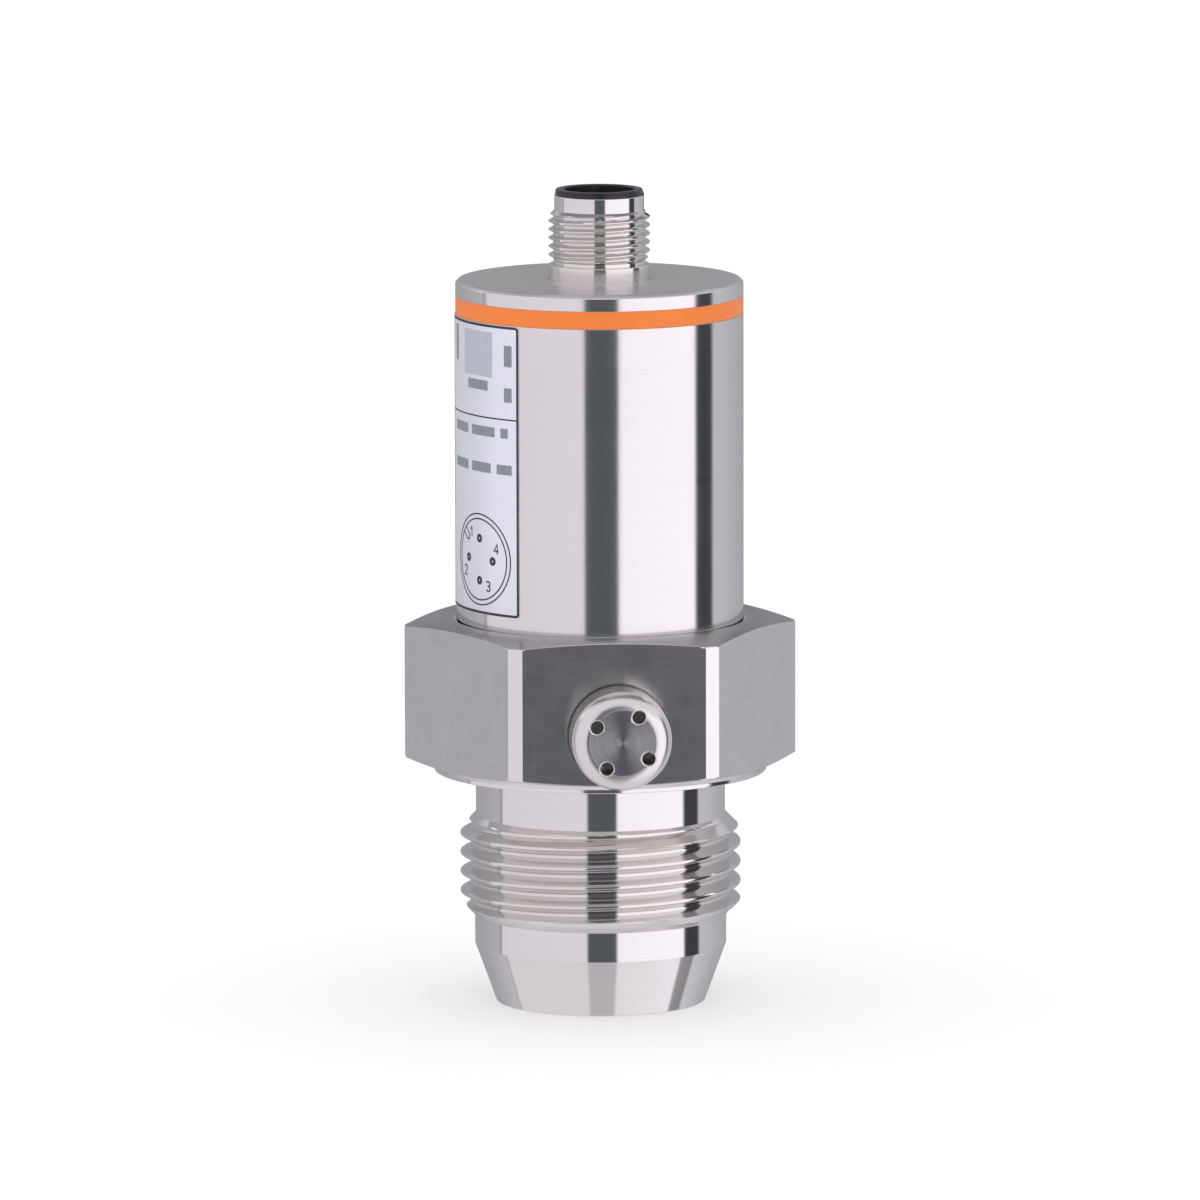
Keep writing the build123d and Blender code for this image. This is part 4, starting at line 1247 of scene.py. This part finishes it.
def card_colours(tree, around):
    """Colours of the cards and the gaps between them, from 0 to 1 round the sensor."""
    ramp_node = tree.nodes.new("ShaderNodeValToRGB")
    link(tree, around, ramp_node.inputs[0])
    elements = ramp_node.color_ramp.elements
    elements.remove(elements[1])
    for start, end, level_start, level_end, tint in CARD_BANDS:
        for degrees, level in ((start + CARD_SOFTNESS, level_start), (end - CARD_SOFTNESS, level_end)):
            element = elements.new((degrees + 180) / 360)
            element.color = (*(channel * level / CARD_GAIN for channel in tint), 1)
    elements[0].color = elements[1].color
    return scaled(tree, ramp_node.outputs[0], CARD_GAIN)


def studio_world():
    """Even light for matt surfaces, and tall cards with dark gaps for what metal reflects."""
    world = bpy.data.worlds.new("studio")
    bpy.context.scene.world = world
    world.use_nodes = True
    tree = world.node_tree
    tree.nodes.clear()
    calc = partial(math_node, tree)
    direction = add_node(tree, "ShaderNodeTexCoord")["Generated"]
    x, y, z = separate(tree, direction)
    azimuth = calc("ARCTAN2", x, calc("MULTIPLY", y, -1.0))
    turned = calc("MULTIPLY", calc("SUBTRACT", azimuth, CAMERA_AZIMUTH), map_range(tree, z, *CARD_WIDENING))
    seen = card_colours(tree, calc("FRACT", calc("ADD", calc("DIVIDE", turned, TURN), 0.5)))
    for *ends, colour in HEIGHT_BLENDS:
        start, end = (math.sin(math.radians(degrees)) for degrees in ends)
        seen = mix_colour(tree, map_range(tree, z, (start, end)), seen, colour)
    for *place, radius, colour in DISCS:
        inputs = {0: direction, 1: towards(*map(math.radians, place))}
        facing = add_node(tree, "ShaderNodeVectorMath", inputs, operation="DOT_PRODUCT")["Value"]
        outer, core = (math.cos(math.radians(degrees)) for degrees in (radius, radius * DISC_CORE))
        disc = map_range(tree, facing, (outer, core), interpolation="SMOOTHSTEP")
        seen = mix_colour(tree, disc, seen, colour)
    glossy = add_node(tree, "ShaderNodeLightPath")["Is Glossy Ray"]
    light = add_node(tree, "ShaderNodeBackground", {"Color": mix_colour(tree, glossy, (1, 1, 1, 1), seen)})
    add_node(tree, "ShaderNodeOutputWorld", {"Surface": light[0]})


def make_floor():
    """Pale floor that keeps the sensor's shadow; metal sees past it to the cards."""
    mesh = bmesh.new()
    bmesh.ops.create_grid(mesh, x_segments=1, y_segments=1, size=FLOOR_SIZE)
    floor = new_object("floor", mesh_data(mesh, "floor"))
    material, tree, shader = new_material("floor_pale")
    tree.nodes.remove(shader)
    ray = add_node(tree, "ShaderNodeLightPath")
    glow = math_node(tree, "MULTIPLY", ray["Is Camera Ray"], FLOOR_GLOW)
    diffuse = add_node(tree, "ShaderNodeBsdfDiffuse", {"Color": FLOOR_COLOUR})
    emission = add_node(tree, "ShaderNodeEmission", {"Strength": glow})
    pale = add_node(tree, "ShaderNodeAddShader", {0: diffuse[0], 1: emission[0]})
    clear = add_node(tree, "ShaderNodeBsdfTransparent")
    surface = add_node(tree, "ShaderNodeMixShader", {0: ray["Is Glossy Ray"], 1: pale[0], 2: clear[0]})
    link(tree, surface[0], tree.nodes["Material Output"].inputs["Surface"])
    floor.data.materials.append(material)


def make_camera():
    """Long lens at the photograph's viewing angle."""
    data = bpy.data.cameras.new("camera")
    data.sensor_width = SENSOR_WIDTH
    data.lens = SENSOR_WIDTH * CAMERA_DISTANCE / (FRAME_WIDTH * MM)
    data.clip_end = CAMERA_REACH
    camera = new_object("camera", data)
    back = towards(CAMERA_AZIMUTH, CAMERA_ELEVATION)
    camera.location = Vector((0, 0, CAMERA_TARGET_Z * MM)) + back * CAMERA_DISTANCE
    camera.rotation_euler = (back.to_track_quat("Z", "Y") @ Quaternion((0, 0, 1), CAMERA_ROLL)).to_euler()
    bpy.context.scene.camera = camera


make_camera()
studio_world()
make_floor()
dress_cad_nodes()
make_process_fitting()
make_housing_tube()
make_colour_ring()
make_end_cap()
make_plug_sleeve()
make_plug_insert()
make_label_print()
make_vent_cover()

bpy.context.scene.view_settings.view_transform = "Standard"
